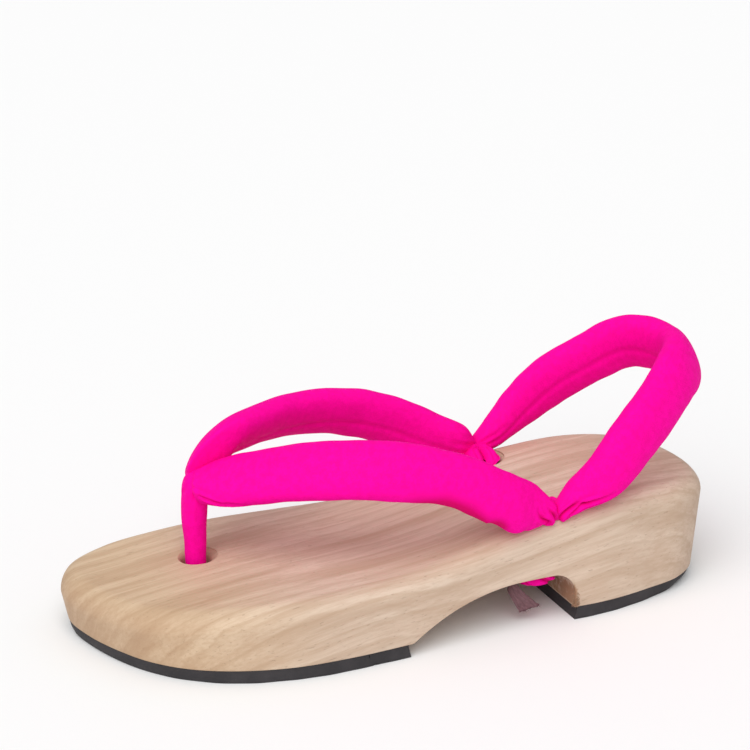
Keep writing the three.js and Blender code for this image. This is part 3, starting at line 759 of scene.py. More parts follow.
def wood_grain():
    """Growth layers, fibres and pores of a straight-grained block, from object coordinates in metres."""
    tree, given, gives = shader_group(
        "wood_grain", {"Place": None, "Layer": GROWTH_LAYER}, ("Late", "Fibre", "Pore", "Rose", "Height"),
    )
    bent = node(tree, "ShaderNodeTexNoise", {"Vector": given.outputs["Place"], "Scale": 9.0, "Detail": 2.0})
    centred = vector_of(tree, "SUBTRACT", {0: bent.outputs["Color"], 1: (0.5, 0.5, 0.5)})
    wander = vector_of(tree, "SCALE", {0: centred, "Scale": GRAIN_WANDER})
    place = vector_of(tree, "ADD", {0: given.outputs["Place"], 1: wander})
    tilted = node(tree, "ShaderNodeMapping", {"Vector": place, "Rotation": GRAIN_TILT}).outputs[0]
    level = node(tree, "ShaderNodeSeparateXYZ", {0: tilted}).outputs["Z"]
    uneven = noise(tree, tilted, 70.0, stretch=(1, 20, 1), detail=4.0, roughness=0.6)
    level = sum_of(tree, "MULTIPLY_ADD", uneven, 0.010, level)
    layer = sum_of(tree, "FRACT", sum_of(tree, "DIVIDE", level, given.outputs["Layer"]))
    early = sum_of(tree, "POWER", layer, 2.6)
    late = sum_of(tree, "MULTIPLY", early, ramp(tree, layer, 1.0, 0.86))
    fibre = noise(tree, tilted, 1000.0, stretch=(1.5, 42, 1), detail=6.0, roughness=0.72)
    pore = noise(tree, tilted, 2300.0, stretch=(1, 9, 1), detail=1.0, roughness=0.4)
    pore = ramp(tree, pore, 0.69, 0.77)
    rose = noise(tree, tilted, 150.0, stretch=(4, 17, 1), detail=6.0, roughness=0.66)
    rose = ramp(tree, rose, 0.36, 0.68)
    height = sum_of(tree, "MULTIPLY_ADD", pore, -1.2, fibre)
    parts = {"Late": late, "Fibre": fibre, "Pore": pore, "Rose": rose, "Height": height}
    for socket, value in parts.items():
        tree.links.new(value, gives.inputs[socket])
    return tree


GRAIN = wood_grain()


def wood_material(name, end_share, roughness):
    """Pale sanded wood. end_share darkens it as end grain, or None reads the mesh's end_grain attribute."""
    material, tree, shader = new_material(name, {"Specular IOR Level": 0.35})
    place = node(tree, "ShaderNodeTexCoord").outputs["Object"]
    grain = node(tree, "ShaderNodeGroup", {"Place": place}, node_tree=GRAIN).outputs
    fibres = ramp(tree, grain["Fibre"], 0.42, 0.64)
    colour = WOOD_PALE
    for mask, share, tint in (
        (grain["Rose"], ROSE_SHARE, WOOD_ROSE), (grain["Late"], LATE_SHARE, WOOD_LATE),
        (fibres, FIBRE_SHARE, WOOD_ROSE), (grain["Pore"], PORE_SHARE, WOOD_PORE),
    ):
        colour = mixed(tree, sum_of(tree, "MULTIPLY", mask, share), colour, tint)
    along = node(tree, "ShaderNodeSeparateXYZ", {0: place}).outputs["Y"]
    colour = mixed(tree, ramp(tree, along, WARM_FROM, WARM_FULLY), colour, WARM_TOE, "MULTIPLY")
    if end_share is None:
        end = node(tree, "ShaderNodeAttribute", attribute_name="end_grain").outputs["Fac"]
        rough = node(tree, "ShaderNodeAttribute", attribute_name="rough_cut").outputs["Fac"]
        dots = noise(tree, place, 420.0, detail=3.0, roughness=0.7)
        torn = ramp(tree, sum_of(tree, "MULTIPLY_ADD", dots, 0.9, rough), 0.95, 1.35)
        end = sum_of(tree, "MAXIMUM", sum_of(tree, "MULTIPLY", end, END_SHARE), torn)
    else:
        end = end_share
    colour = mixed(tree, end, colour, WOOD_END)
    tree.links.new(colour, shader.inputs["Base Color"])
    tree.links.new(sum_of(tree, "MULTIPLY_ADD", grain["Fibre"], 0.2, roughness), shader.inputs["Roughness"])
    bump(tree, shader, grain["Height"], 0.12 * MM, 0.7)
    return material


SANDED_WOOD = wood_material("sanded_wood", None, 0.48)


def make_base():
    mesh = base_mesh()
    low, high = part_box("wood_base")
    points = np.array([v.co for v in mesh.vertices])
    shift = (np.array(low) + np.array(high)) / 2 - (points.min(0) + points.max(0)) / 2
    shift[2] = 0
    mesh.transform(Matrix.Translation(Vector(shift)))
    mesh = merged(evaluated_copy(
        "wood_base_block", mesh, "BEVEL", width=ARCH_EDGE_ROUND * MM, segments=2, limit_method="ANGLE",
        angle_limit=math.radians(38), use_clamp_overlap=True, miter_outer="MITER_ARC",
    ))
    points = np.array([v.co for v in mesh.vertices]) - shift
    normals = np.array([v.normal for v in mesh.vertices])
    end_grain = np.clip(np.abs(normals[:, 1]) - 0.15, 0, 1) ** 1.3
    heel_block = y_of(ARCH_END) * MM
    near = np.clip(1 - np.abs(points[:, 1] - heel_block) / (ROUGH_STRIP * MM), 0, 1)
    edge = np.abs(points[:, 0] - outer_edge_x(float(y_of(ARCH_END))) * MM) < ROUGH_STRIP * MM
    rough = near * edge * (points[:, 2] < (ARCH_HEIGHT - 3) * MM)
    give_values(mesh, "end_grain", end_grain)
    give_values(mesh, "rough_cut", rough)
    mesh.shade_smooth()
    mesh.set_sharp_from_angle(angle=math.radians(35))
    piece_of("wood_base_block", mesh, SANDED_WOOD, ["wood_base"])
    return shift / MM


BASE_SHIFT = make_base()
TORN_WOOD = wood_material("torn_wood", 0.85, 0.75)
TORN_FIBRE_COUNT = 90
TORN_FIBRE_ROOM = 1.6
TORN_FIBRES = {"Length": 1.5 * MM, "Thickness": 0.14 * MM, "Scatter": 0.55}


def make_torn_fibres():
    """Broken fibres that the saw left along the front outer corner of the heel block."""
    generator = np.random.default_rng(7)
    y = float(y_of(ARCH_END))
    x = outer_edge_x(y) + 0.1
    count = TORN_FIBRE_COUNT
    reach = ARCH_HEIGHT - ARCH_CORNER - TREAD_THICKNESS
    heights = TREAD_THICKNESS + 0.4 + reach * generator.random(count) ** 1.2
    back = generator.random(count) * TORN_FIBRE_ROOM
    in_front = generator.random(count) < 0.5
    points = np.where(
        in_front[:, None],
        np.column_stack([x - 0.3 - back, np.full(count, y), heights]),
        np.column_stack([np.full(count, x), y + 0.2 + back, heights]),
    )
    ways = np.where(in_front[:, None], (0.3, -1, -0.1), (0.5, -0.8, -0.1))
    mesh = grown_mesh(
        "torn_fibres", FIBRES, (points + BASE_SHIFT) * MM, ways,
        {**TORN_FIBRES, "Seed": 11, "Material": TORN_WOOD},
    )
    piece_of("torn_fibres", mesh, TORN_WOOD)


make_torn_fibres()


# Rubber treads
# Two pieces of 5 mm black sheet rubber are glued under the toe end and the heel block, trimmed by knife to
# the outline, and ground back at the toe and the heel. The front one has a round window for the knot.
TREAD_BEVEL = 1.6
TREAD_WALL_INSET = 0.4
TREAD_END_LEAN = 2.0
KNIFE_WOBBLE = 0.16
RUBBER_BLACK = (0.030, 0.027, 0.030, 1)
RUBBER_GREY = (0.066, 0.060, 0.064, 1)
# share of the thickness, share of the bevel, and phase of the knife's wander, from the bottom up.
TREAD_EDGE = [(0.06, 0.92, 0.4), (0.28, 0.60, 0.6), (0.50, 0.30, 0.9), (0.78, 0.12, 1.1)]
NICKED_EDGE = 0.485
# Slips of the knife in the front tread's outer edge: place and size along y, size inwards, then the lowest
# and the highest point.
KNIFE_NICKS = [(-28.2, 1.7, 0.7, -1, 0.9), (-30.2, 0.45, 0.6, 3.6, 6)]


def box_mesh(name, low, high, lean=0.0):
    """A box. lean shifts its bottom corners along y."""
    corners = [(x, y + (lean if z == low[2] else -lean), z) for x in (low[0], high[0])
               for y in (low[1], high[1]) for z in (low[2], high[2])]
    faces = [(0, 1, 3, 2), (4, 6, 7, 5), (0, 4, 5, 1), (2, 3, 7, 6), (0, 2, 6, 4), (1, 5, 7, 3)]
    return merged(mesh_of(name, np.array(corners) * MM, faces))


def rubber_material():
    material, tree, shader = new_material("black_sheet_rubber", {"Specular IOR Level": 0.35})
    place = node(tree, "ShaderNodeTexCoord").outputs["Object"]
    cloud = noise(tree, place, 90.0, detail=4.0, roughness=0.6)
    grit = noise(tree, place, 1800.0, detail=3.0, roughness=0.7)
    clouded = sum_of(tree, "MULTIPLY", ramp(tree, cloud, 0.35, 0.75), 0.5)
    colour = mixed(tree, clouded, RUBBER_BLACK, RUBBER_GREY)
    colour = mixed(tree, ramp(tree, grit, 0.62, 0.80), colour, RUBBER_GREY)
    tree.links.new(colour, shader.inputs["Base Color"])
    tree.links.new(sum_of(tree, "MULTIPLY_ADD", cloud, 0.15, 0.68), shader.inputs["Roughness"])
    bump(tree, shader, grit, 0.10 * MM, 0.8)
    return material


SHEET_RUBBER = rubber_material()


def knife_wave(y, phase):
    """The small wander of a hand-cut edge along the outline."""
    return KNIFE_WOBBLE * (
        np.sin(y / 5.3 + phase) + 0.6 * np.sin(y / 2.1 + 2 * phase) + 0.5 * np.sin(y / 13 + phase)
    )


def ground_back(y, share, phase):
    """Inset of the tread's edge at each place, for a share of the bevel."""
    inset = TREAD_WALL_INSET + share * TREAD_BEVEL * wall_share(2, y) + knife_wave(y, phase)
    return np.maximum(inset, 0.1)


def make_tread(solid, start=None, end=None, window=None):
    name = solid + "_sheet"
    rings = [outline_ring(lambda y: ground_back(y, 1, 0.4) + 0.25, lambda y: 0)]
    rings += [
        outline_ring(lambda y: ground_back(y, share, phase), lambda y: height * TREAD_THICKNESS)
        for height, share, phase in TREAD_EDGE
    ]
    rings.append(outline_ring(lambda y: TREAD_WALL_INSET, lambda y: TREAD_THICKNESS))
    body = merged(outline_body(name, rings, 1, 1, lambda y: TREAD_THICKNESS + 0 * y, lambda y: 0 * y))
    cutters = []
    far = 2 * BALL_WIDTH
    if start is not None:
        cutters.append(box_mesh("cut", (-far, -BASE_LENGTH, -9), (far, start, 9), -TREAD_END_LEAN))
    if end is not None:
        cutters.append(box_mesh("cut", (-far, end, -9), (far, BASE_LENGTH, 9), TREAD_END_LEAN))
    if window is not None:
        cutters.append(turned_bar("window", [(RECESS / 2, -9), (RECESS / 2, 9)], window))
        edge_x = NICKED_EDGE * BALL_WIDTH - TREAD_WALL_INSET
        for y, length, depth, bottom, top in KNIFE_NICKS:
            cutters.append(box_mesh("nick", (edge_x - depth, y, bottom), (far, y + length, top), 0.15))
    mesh = cut_from(name, body, cutters)
    mesh.transform(Matrix.Translation(Vector(BASE_SHIFT) * MM))
    mesh.shade_smooth()
    mesh.set_sharp_from_angle(angle=math.radians(40))
    piece_of(name, mesh, SHEET_RUBBER, [solid])


make_tread("front_tread", end=float(y_of(ARCH_START)), window=place_of(FRONT_HOLE_AT))
make_tread("heel_tread", start=float(y_of(ARCH_END)))

# Thong strap
# Two padded tubes of bright pink fabric over a soft core run from the rear holes to the front, where they are
# sewn together and held down by a short padded loop. Each is gathered into its rear hole with small pleats.
STRAP_WIDTH = 22.0
STRAP_THICKNESS = 12.0
STRAP_RISE = 38.0
TOE_LOOP_WIDTH = 10.5
TOE_LOOP_THICKNESS = 9.0
JOINT_RISE = 0.77
STRAP_SIDES = 96
FINE_STEP, COARSE_STEP, FINE_END, FINE_EASE = 0.45, 1.2, 34.0, 20.0
FULLNESS = 2.25
WOOD_GAP = 0.2
JOINT_HALF_GAP = 0.05
MOUTH_HALF_GAP = 0.03
PAST_THE_JOINT = 60.0
WELL_INTO_HOLE = 3.5
NO_WOOD = -1000.0
PLACES_AT_ONCE = 4000
LUMP_COUNT = 14
LUMP_LENGTHS = (9, 34)
SEAM_TURN, SEAM_DEPTH, SEAM_WIDTH = 270, 0.5, 0.7
PINK = (0.98, 0.0012, 0.362, 1)
# Deeper pink, used both for the fabric's mottle and as painted shade in the creases and pleats.
PINK_MOTTLE_AND_SHADE = (0.62, 0.0006, 0.110, 1)
FABRIC_FINISH = {
    "Roughness": 0.75, "Specular IOR Level": 0.05, "Sheen Weight": 0.08, "Sheen Roughness": 0.4,
    "Sheen Tint": (1.0, 0.0, 0.55, 1),
}
# A place on the slanted front of the joint, where the toe loop draws the arms' ends together, and the way
# that this front looks.
JOINT_FRONT = (-17.0, -77.3, 59.0)
JOINT_WAY = (-0.35, -1, 0.25)
# along and across as for the outline, rise of the centre line over the bed as a share of STRAP_RISE,
# width and thickness as shares of the strap's, and the angle in degrees that the outer face looks up.
LATERAL_ARM = [
    (0.191, -0.146, 0.735, 0.62, 0.95, 62), (0.228, -0.060, 0.80, 0.92, 1.00, 58),
    (0.262, 0.015, 0.86, 0.98, 1.00, 54), (0.308, 0.110, 0.94, 1.00, 1.00, 48),
    (0.360, 0.215, 1.00, 1.00, 1.00, 40), (0.445, 0.320, 0.96, 1.00, 1.00, 32),
    (0.535, 0.380, 0.71, 1.01, 1.00, 24), (0.610, 0.405, 0.362, 0.97, 0.98, 20),
    (0.658, 0.385, 0.167, 0.79, 0.90, 20),
]
MEDIAL_ARM = [
    (0.191, -0.166, 0.765, 0.74, 0.92, 62), (0.222, -0.200, 0.94, 0.92, 1.00, 50),
    (0.257, -0.245, 1.05, 1.00, 1.00, 45), (0.305, -0.305, 1.06, 1.00, 1.00, 42),
    (0.375, -0.385, 1.03, 1.00, 1.00, 38), (0.465, -0.420, 0.92, 1.00, 1.00, 32),
    (0.545, -0.415, 0.68, 0.98, 1.00, 25), (0.615, -0.385, 0.36, 0.92, 0.98, 20),
    (0.658, -0.352, 0.19, 0.80, 0.90, 20),
]
# Creases: distance along from the end in mm and turn round the tube in degrees, at the start and at the end,
# then width and depth in mm. 90 degrees is the middle of the outer face, and 180 the lower edge outside.
LATERAL_MOUTH_CREASES = [
    (1.2, 138, 11, 95, 0.75, 2.1), (0.6, 94, 5.5, 80, 0.65, 2.2), (1, 150, 8, 142, 0.7, 0.7),
    (0, 70, 6, 64, 0.7, 0.7),
]
LATERAL_JOINT_CREASES = [
    (5, 160, 14, 182, 0.8, 1.2), (9, 168, 18, 190, 0.75, 1.1), (1, 128, 9, 146, 0.8, 0.5),
    (1, 60, 9, 48, 0.9, 0.5), (15, 176, 23, 194, 0.8, 0.8),
]
# Bulges: distance along from the end, turn, length and girth in mm, and height in mm.
LATERAL_MOUTH_BULGES = [
    (43, 178, 14.0, 8.0, -3.0), (30, 176, 5.0, 6.0, -0.9), (23.5, 176, 3.4, 6.0, -2.1),
    (27.2, 170, 1.6, 3.5, 0.7), (16.5, 176, 3.0, 4.0, 0.7), (12, 164, 1.8, 4.0, -0.5),
]
PLAIN_MOUTH_CREASES = [
    (0, 100, 15, 92, 0.9, 0.9), (1, 130, 12, 118, 0.85, 0.8), (1, 60, 13, 66, 0.9, 0.7),
    (2, 300, 14, 290, 0.9, 0.6), (2, 250, 12, 256, 0.9, 0.6),
]
# Spread of a strap's end over its hole: outwards, away from the other strap, over the bed, width, thickness.
ARM_SPREAD = [(7.3, 2.4, 1.9, 8.0, 8.8), (3.9, 3.1, 0.0, 7.0, 9.6)]


def base_surface(x, y):
    """Height of the wooden top at each place, with its rounded edge, and far below outside it."""
    edge = EDGE - INWARD * flare(EDGE[:, 1])[:, None]
    places = np.column_stack([x, y])
    height = np.full(len(places), NO_WOOD)
    for first in range(0, len(places), PLACES_AT_ONCE):
        part = places[first: first + PLACES_AT_ONCE]
        apart = part[:, None] - edge[None]
        nearest = (apart ** 2).sum(2).argmin(1)
        inside = (apart[np.arange(len(part)), nearest] * INWARD[nearest]).sum(1)
        rounding = top_round(part[:, 1])
        drop = np.clip(rounding - inside, 0, rounding)
        top = bed_height(part[:, 1]) - rounding + np.sqrt(rounding ** 2 - drop ** 2)
        height[first: first + PLACES_AT_ONCE] = np.where(inside > 0, top, NO_WOOD)
    return height


def off_the_wood(points, hole):
    """Padding that would sink into the wood is moved onto it, or into the round hole that it enters."""
    flat = points.reshape(-1, 3)
    surface = base_surface(flat[:, 0], flat[:, 1]) + WOOD_GAP
    place, radius, bed = hole
    away = flat[:, :2] - place
    distance = np.linalg.norm(away, axis=1)
    sink = np.clip((flat[:, 2] - bed + HOLE_COUNTERSINK), 0, HOLE_COUNTERSINK)
    room = radius - WOOD_GAP + sink
    low = flat[:, 2] < surface
    lift = surface - flat[:, 2]
    squeeze = distance - room
    inwards = low & (squeeze > 0) & ((squeeze < lift) | (flat[:, 2] < bed - WELL_INTO_HOLE))
    flat[inwards, :2] = (place + away * (room / np.maximum(distance, 1e-6))[:, None])[inwards]
    raised = low & (squeeze > 0) & ~inwards
    flat[raised, 2] = surface[raised]
    return flat.reshape(points.shape)


def against(points, place, way, soft):
    """Padding pressed flat against a plane: points past it come back, with a soft shoulder."""
    way = unit(np.asarray(way, float))
    depth = (points - np.asarray(place, float)) @ way
    over = np.maximum(depth + soft, 0)
    pressed = np.where(over > 0, -soft + soft * (1 - np.exp(-over / soft)), depth)
    return points + (pressed - depth)[..., None] * way


def hole_of(name):
    """A rear hole's middle, its radius and the height of the bed there."""
    place = place_of(REAR_HOLES_AT[name])
    return place, REAR_HOLE / 2, float(bed_height(place[1]))


def mouth_stations(name, forward, spread):
    """The gathered end of a strap, spread over its rear hole and pinched into its half of the bore."""
    side = OUTWARDS[name]
    (x, y), _, bed = hole_of(name)
    width, thickness = REAR_HOLE / 2 - 0.6, 0.72 * REAR_HOLE
    rows = spread + [
        (0, REAR_HOLE / 4, -HOLE_COUNTERSINK, 6.6, 12.4),
        (0, REAR_HOLE / 4, (ARCH_HEIGHT - bed) / 2, width, thickness),
        (0, REAR_HOLE / 4, ARCH_HEIGHT - bed, width, thickness),
    ]
    return [
        ((x + side * out, y + forward * away, bed + over), (side, 0, 0), wide, thick)
        for out, away, over, wide, thick in rows
    ]


def strap_stations(centres, side, rows):
    """Centre, outer way, width and thickness of each row of a strap's table."""
    centres = np.asarray(centres, float)
    found = []
    for i, (*_, width, thickness, face) in enumerate(rows):
        along = unit(centres[min(i + 1, len(centres) - 1)] - centres[max(i - 1, 0)])
        level = unit(np.cross(along, (0, 0, 1))) * side
        angle = math.radians(face)
        outer = level * math.cos(angle) + np.array((0, 0, math.sin(angle)))
        found.append((centres[i], outer, width * STRAP_WIDTH, thickness * STRAP_THICKNESS))
    return found


class PaddedTube:
    """A padded tube through stations: its rings of points, and each ring's distance along it."""

    def __init__(self, stations):
        centres = [s[0] for s in stations]
        samples = np.linspace(0, len(stations) - 1, CURVE_SAMPLES)
        gone = distances_along(smooth_curve(centres, samples))
        share = np.clip((np.minimum(gone, gone[-1] - gone) - FINE_END) / FINE_EASE, 0, 1)
        pace = 1 / (FINE_STEP + (COARSE_STEP - FINE_STEP) * share)
        count = np.concatenate([[0], np.cumsum(np.diff(gone) * (pace[1:] + pace[:-1]) / 2)])
        at = np.interp(np.linspace(0, count[-1], int(count[-1]) + 1), count, samples)
        self.line = smooth_curve(centres, at)
        self.length = np.interp(at, samples, gone)
        self.along = unit(np.gradient(self.line, self.length, axis=0))
        outer = smooth_rows([s[1] for s in stations], at)
        self.outer = unit(outer - (outer * self.along).sum(1)[:, None] * self.along)
        self.across = np.cross(self.outer, self.along)
        self.half_width = smooth_rows([s[2] for s in stations], at)[:, 0] / 2
        self.half_thick = smooth_rows([s[3] for s in stations], at)[:, 0] / 2
        self.turn = turn = full_turn(STRAP_SIDES)
        wide, thick = (
            np.sign(wave) * np.abs(wave) ** (2 / FULLNESS) for wave in (np.cos(turn), np.sin(turn))
        )
        self.rings = (
            self.line[:, None] + self.across[:, None] * (self.half_width[:, None] * wide)[..., None]
            + self.outer[:, None] * (self.half_thick[:, None] * thick)[..., None]
        )
        lean_wide = np.cos(turn)[None] / self.half_width[:, None]
        lean_thick = np.sin(turn)[None] / self.half_thick[:, None]
        self.normals = unit(
            self.across[:, None] * lean_wide[..., None] + self.outer[:, None] * lean_thick[..., None]
        )
        self.radius = (self.half_width + self.half_thick) / 2
        self.depth = np.zeros(self.rings.shape[:2])

    def unrolled(self, start, turn_degrees):
        """Distance in mm from a place on the unrolled surface, along and around."""
        around = (self.turn - math.radians(turn_degrees) + math.pi) % (2 * math.pi) - math.pi
        return self.length[:, None] - start, around[None] * self.radius[:, None]

    def crease(self, rows, origin, way=1):
        """Soft troughs with a low ridge on each side, deepest near their start."""
        for start, start_turn, end, end_turn, width, depth in rows:
            along, around = self.unrolled(origin + way * start, start_turn)
            reach = way * (end - start)
            swing = math.radians(end_turn - start_turn) * self.radius[:, None]
            share = np.clip(along / reach, 0, 1)
            apart = np.hypot(along - share * reach, around - share * swing) / width
            fade = np.clip(1 - share, 0, 1) ** 0.7 * np.clip(share * 8 + 0.3, 0, 1)
            trough = -np.exp(-apart ** 2) + 0.45 * np.exp(-(apart - 1.9) ** 2)
            self.depth += depth * fade * trough

    def bulge(self, rows, origin, way=1):
        for start, turn, length, girth, height in rows:
            along, around = self.unrolled(origin + way * start, turn)
            self.depth += height * np.exp(-(along / length) ** 2 - (around / girth) ** 2)

    def seam(self):
        """The sewn seam along the inner face."""
        along, around = self.unrolled(0, SEAM_TURN)
        self.depth -= SEAM_DEPTH * np.exp(-(around / SEAM_WIDTH) ** 2)

    def uneven(self, amount, seed):
        """The slight lumpiness of hand-stuffed padding."""
        generator = np.random.default_rng(seed)
        for _ in range(LUMP_COUNT):
            long, around = generator.uniform(*LUMP_LENGTHS), generator.integers(0, 4)
            phase, height = generator.uniform(0, 2 * math.pi, 2), generator.uniform(0.2, 1)
            wave = np.cos(self.length / long * 2 * math.pi + phase[0])[:, None]
            self.depth += amount * height / 4 * wave * np.cos(around * self.turn + phase[1])[None]

    def shaped(self):
        return self.rings + self.normals * self.depth[..., None]

    def rounded_start(self, reach):
        """Draws the first rings in to a round end."""
        share = np.clip(self.length / reach, 0, 1)
        size = np.sqrt(np.clip(1 - (1 - share) ** 2, 0.0004, 1))
        self.rings = self.line[:, None] + (self.rings - self.line[:, None]) * size[:, None, None]


def padded_fabric(name, pink, mottle_and_shade):
    material, tree, shader = new_material(name, FABRIC_FINISH)
    surface = node(tree, "ShaderNodeUVMap", uv_map="surface").outputs[0]
    weave = node(tree, "ShaderNodeGroup", {"Surface": surface, "Pitch": 0.42}, node_tree=WEAVE)
    crease_shade = node(tree, "ShaderNodeAttribute", attribute_name="crease_shade").outputs["Fac"]
    tone = sum_of(tree, "MULTIPLY", ramp(tree, weave.outputs["Mottle"], 0.38, 0.62), 0.30)
    tone = sum_of(tree, "MULTIPLY_ADD", weave.outputs["Height"], -0.08, sum_of(tree, "ADD", tone, 0.08))
    # The colour goes to the deeper pink where the mottle is dark, and as painted shade in the creases and
    # pleat troughs.
    colour = mixed(tree, sum_of(tree, "MAXIMUM", tone, crease_shade), pink, mottle_and_shade)
    tree.links.new(colour, shader.inputs["Base Color"])
    height = sum_of(tree, "MULTIPLY_ADD", weave.outputs["Mottle"], 0.5, weave.outputs["Height"])
    bump(tree, shader, height, 0.05 * MM, 0.5)
    return material


PINK_FABRIC = padded_fabric("pink_strap_fabric", PINK, PINK_MOTTLE_AND_SHADE)


def make_strap(name, tube, points, replaces):
    """A padded piece from a tube and its final points."""
    mesh = tube_mesh(name, (points + BASE_SHIFT) * MM, tube.length)
    # Painted shade: the deeper a crease or trough sinks, the darker the pink painted into it.
    crease_shade = np.clip(-tube.depth * 0.75 - 0.15, 0, 0.9)
    give_values(mesh, "crease_shade", np.append(crease_shade, [0, 0]))
    piece = piece_of(name, mesh, PINK_FABRIC, replaces)


def arm_tube(rows, name):
    side = OUTWARDS[name]
    centres = [
        (float(x_of(across)), float(y_of(along)), float(bed_height(y_of(along))) + rise * STRAP_RISE)
        for along, across, rise, *_ in rows
    ]
    return PaddedTube(strap_stations(centres, side, rows) + mouth_stations(name, -1, ARM_SPREAD))


def other_side(table, turn_columns):
    """A crease or bulge table for the medial arm: its turns are mirrored about the outer face."""
    return [
        tuple((180 - value) % 360 if column in turn_columns else value for column, value in enumerate(row))
        for row in table
    ]


def make_arm(name, rows, joint_creases, mouth_creases, mouth_bulges, seed):
    side = OUTWARDS[name]
    tube = arm_tube(rows, name)
    place, _, bed = hole_of(name)
    mouth = tube.length[np.argmax((tube.line[:, 2] < bed + 1.0) & (tube.length > PAST_THE_JOINT))]
    if side < 0:
        joint_creases, mouth_creases = other_side(joint_creases, (1, 3)), other_side(mouth_creases, (1, 3))
        mouth_bulges = other_side(mouth_bulges, (1,))
    tube.crease(joint_creases, 0)
    tube.crease(mouth_creases, mouth, -1)
    tube.bulge(mouth_bulges, mouth, -1)
    tube.uneven(0.25, seed)
    tube.seam()
    tube.rounded_start(3.0)
    points = tube.shaped()
    front = place_of(FRONT_HOLE_AT)
    points = against(points, (front[0] + side * JOINT_HALF_GAP, front[1], 0), (-side, 0, 0), 2.2)
    points = against(points, JOINT_FRONT, JOINT_WAY, 1.5)
    points = against(points, (place[0], place[1] - MOUTH_HALF_GAP, bed), (0, 1, 0), 0.5)
    points = off_the_wood(points, hole_of(name))
    make_strap(f"thong_arm_{name}", tube, points, ["thong_strap"])


make_arm("lateral", LATERAL_ARM, LATERAL_JOINT_CREASES, LATERAL_MOUTH_CREASES, LATERAL_MOUTH_BULGES, 5)
make_arm("medial", MEDIAL_ARM, [(4, 150, 14, 168, 0.9, 0.6)], PLAIN_MOUTH_CREASES, [(10, 180, 6, 4, 0.8)], 8)

# height over the bed as a share of the joint's, shift towards the heel as a share of the loop's thickness,
# and width and thickness as shares of its own.
TOE_LOOP = [
    (-0.18, 0.00, 0.76, 0.80), (0.25, -0.02, 0.88, 0.90), (0.55, -0.04, 0.95, 1.00),
    (0.80, 0.00, 1.00, 1.04), (1.00, 0.10, 0.97, 1.00), (1.05, 0.58, 0.86, 0.82), (1.00, 1.02, 0.80, 0.75),
    (0.86, 1.22, 0.60, 0.60),
]
# Distance along is from the loop's lower end, and 90 degrees of turn is its front.
TOE_LOOP_CREASES = [(46, 168, 37.5, 84, 0.8, 0.7), (43, 176, 35, 150, 0.7, 0.4), (13, 60, 22, 66, 0.8, 0.4)]


def make_toe_loop():
    x, y = place_of(FRONT_HOLE_AT)
    bed = float(bed_height(y))
    joint = JOINT_RISE * STRAP_RISE
    rows = [(x, y, TREAD_THICKNESS + RECESS_DEPTH, 0.72, 0.75)] + [
        (x, y + back * TOE_LOOP_THICKNESS, bed + height * joint, width, thickness)
        for height, back, width, thickness in TOE_LOOP
    ]
    centres = np.array([row[:3] for row in rows])
    ways = unit(np.gradient(centres, axis=0))
    stations = [
        (centre, np.cross((1, 0, 0), way), row[3] * TOE_LOOP_WIDTH, row[4] * TOE_LOOP_THICKNESS)
        for centre, way, row in zip(centres, ways, rows)
    ]
    tube = PaddedTube(stations)
    tube.crease(TOE_LOOP_CREASES, 0)
    tube.uneven(0.2, 3)
    points = off_the_wood(tube.shaped(), (np.array((x, y)), FRONT_HOLE / 2, bed))
    make_strap("toe_loop", tube, points, ["thong_strap"])


make_toe_loop()

# Heel strap
# A longer padded tube of the same fabric leaves one rear hole, passes round behind the heel and enters the
# other. Long fine pleats fan out from each hole.
HEEL_STRAP_RISE = 40.0
HEEL_STRAP_INSET = 4.5
NEAR_THE_HOLE = 30.0
HEEL_SPREAD = [(8.1, 3.2, 1.8, 7.4, 7.6), (5.0, 3.1, -0.3, 6.4, 8.4)]
# along runs from the hole (0) to the back of the strap (1); the other columns are as for the arms.
HEEL_HALF = [
    (0.146, 0.385, 0.100, 0.57, 0.85, 14), (0.294, 0.405, 0.273, 0.81, 0.96, 14),
    (0.494, 0.368, 0.563, 0.97, 1.00, 15), (0.689, 0.302, 0.793, 0.97, 1.00, 18),
    (0.850, 0.223, 0.975, 1.04, 1.00, 21),
    (0.955, 0.128, 1.01, 1.10, 1.00, 23), (1.000, 0.000, 1.00, 1.10, 1.00, 23),
]
HEEL_MOUTH_CREASES = [
    (2.2, 107, 23, 136, 0.75, 2.0), (0.5, 66, 12, 124, 0.70, 1.9), (1, 84, 17, 108, 0.6, 0.9),
    (3, 134, 24, 156, 0.7, 0.8), (1, 50, 12, 60, 0.7, 0.4), (0, 220, 15, 232, 0.9, 0.5),
    (0, 300, 14, 296, 0.9, 0.5),
]


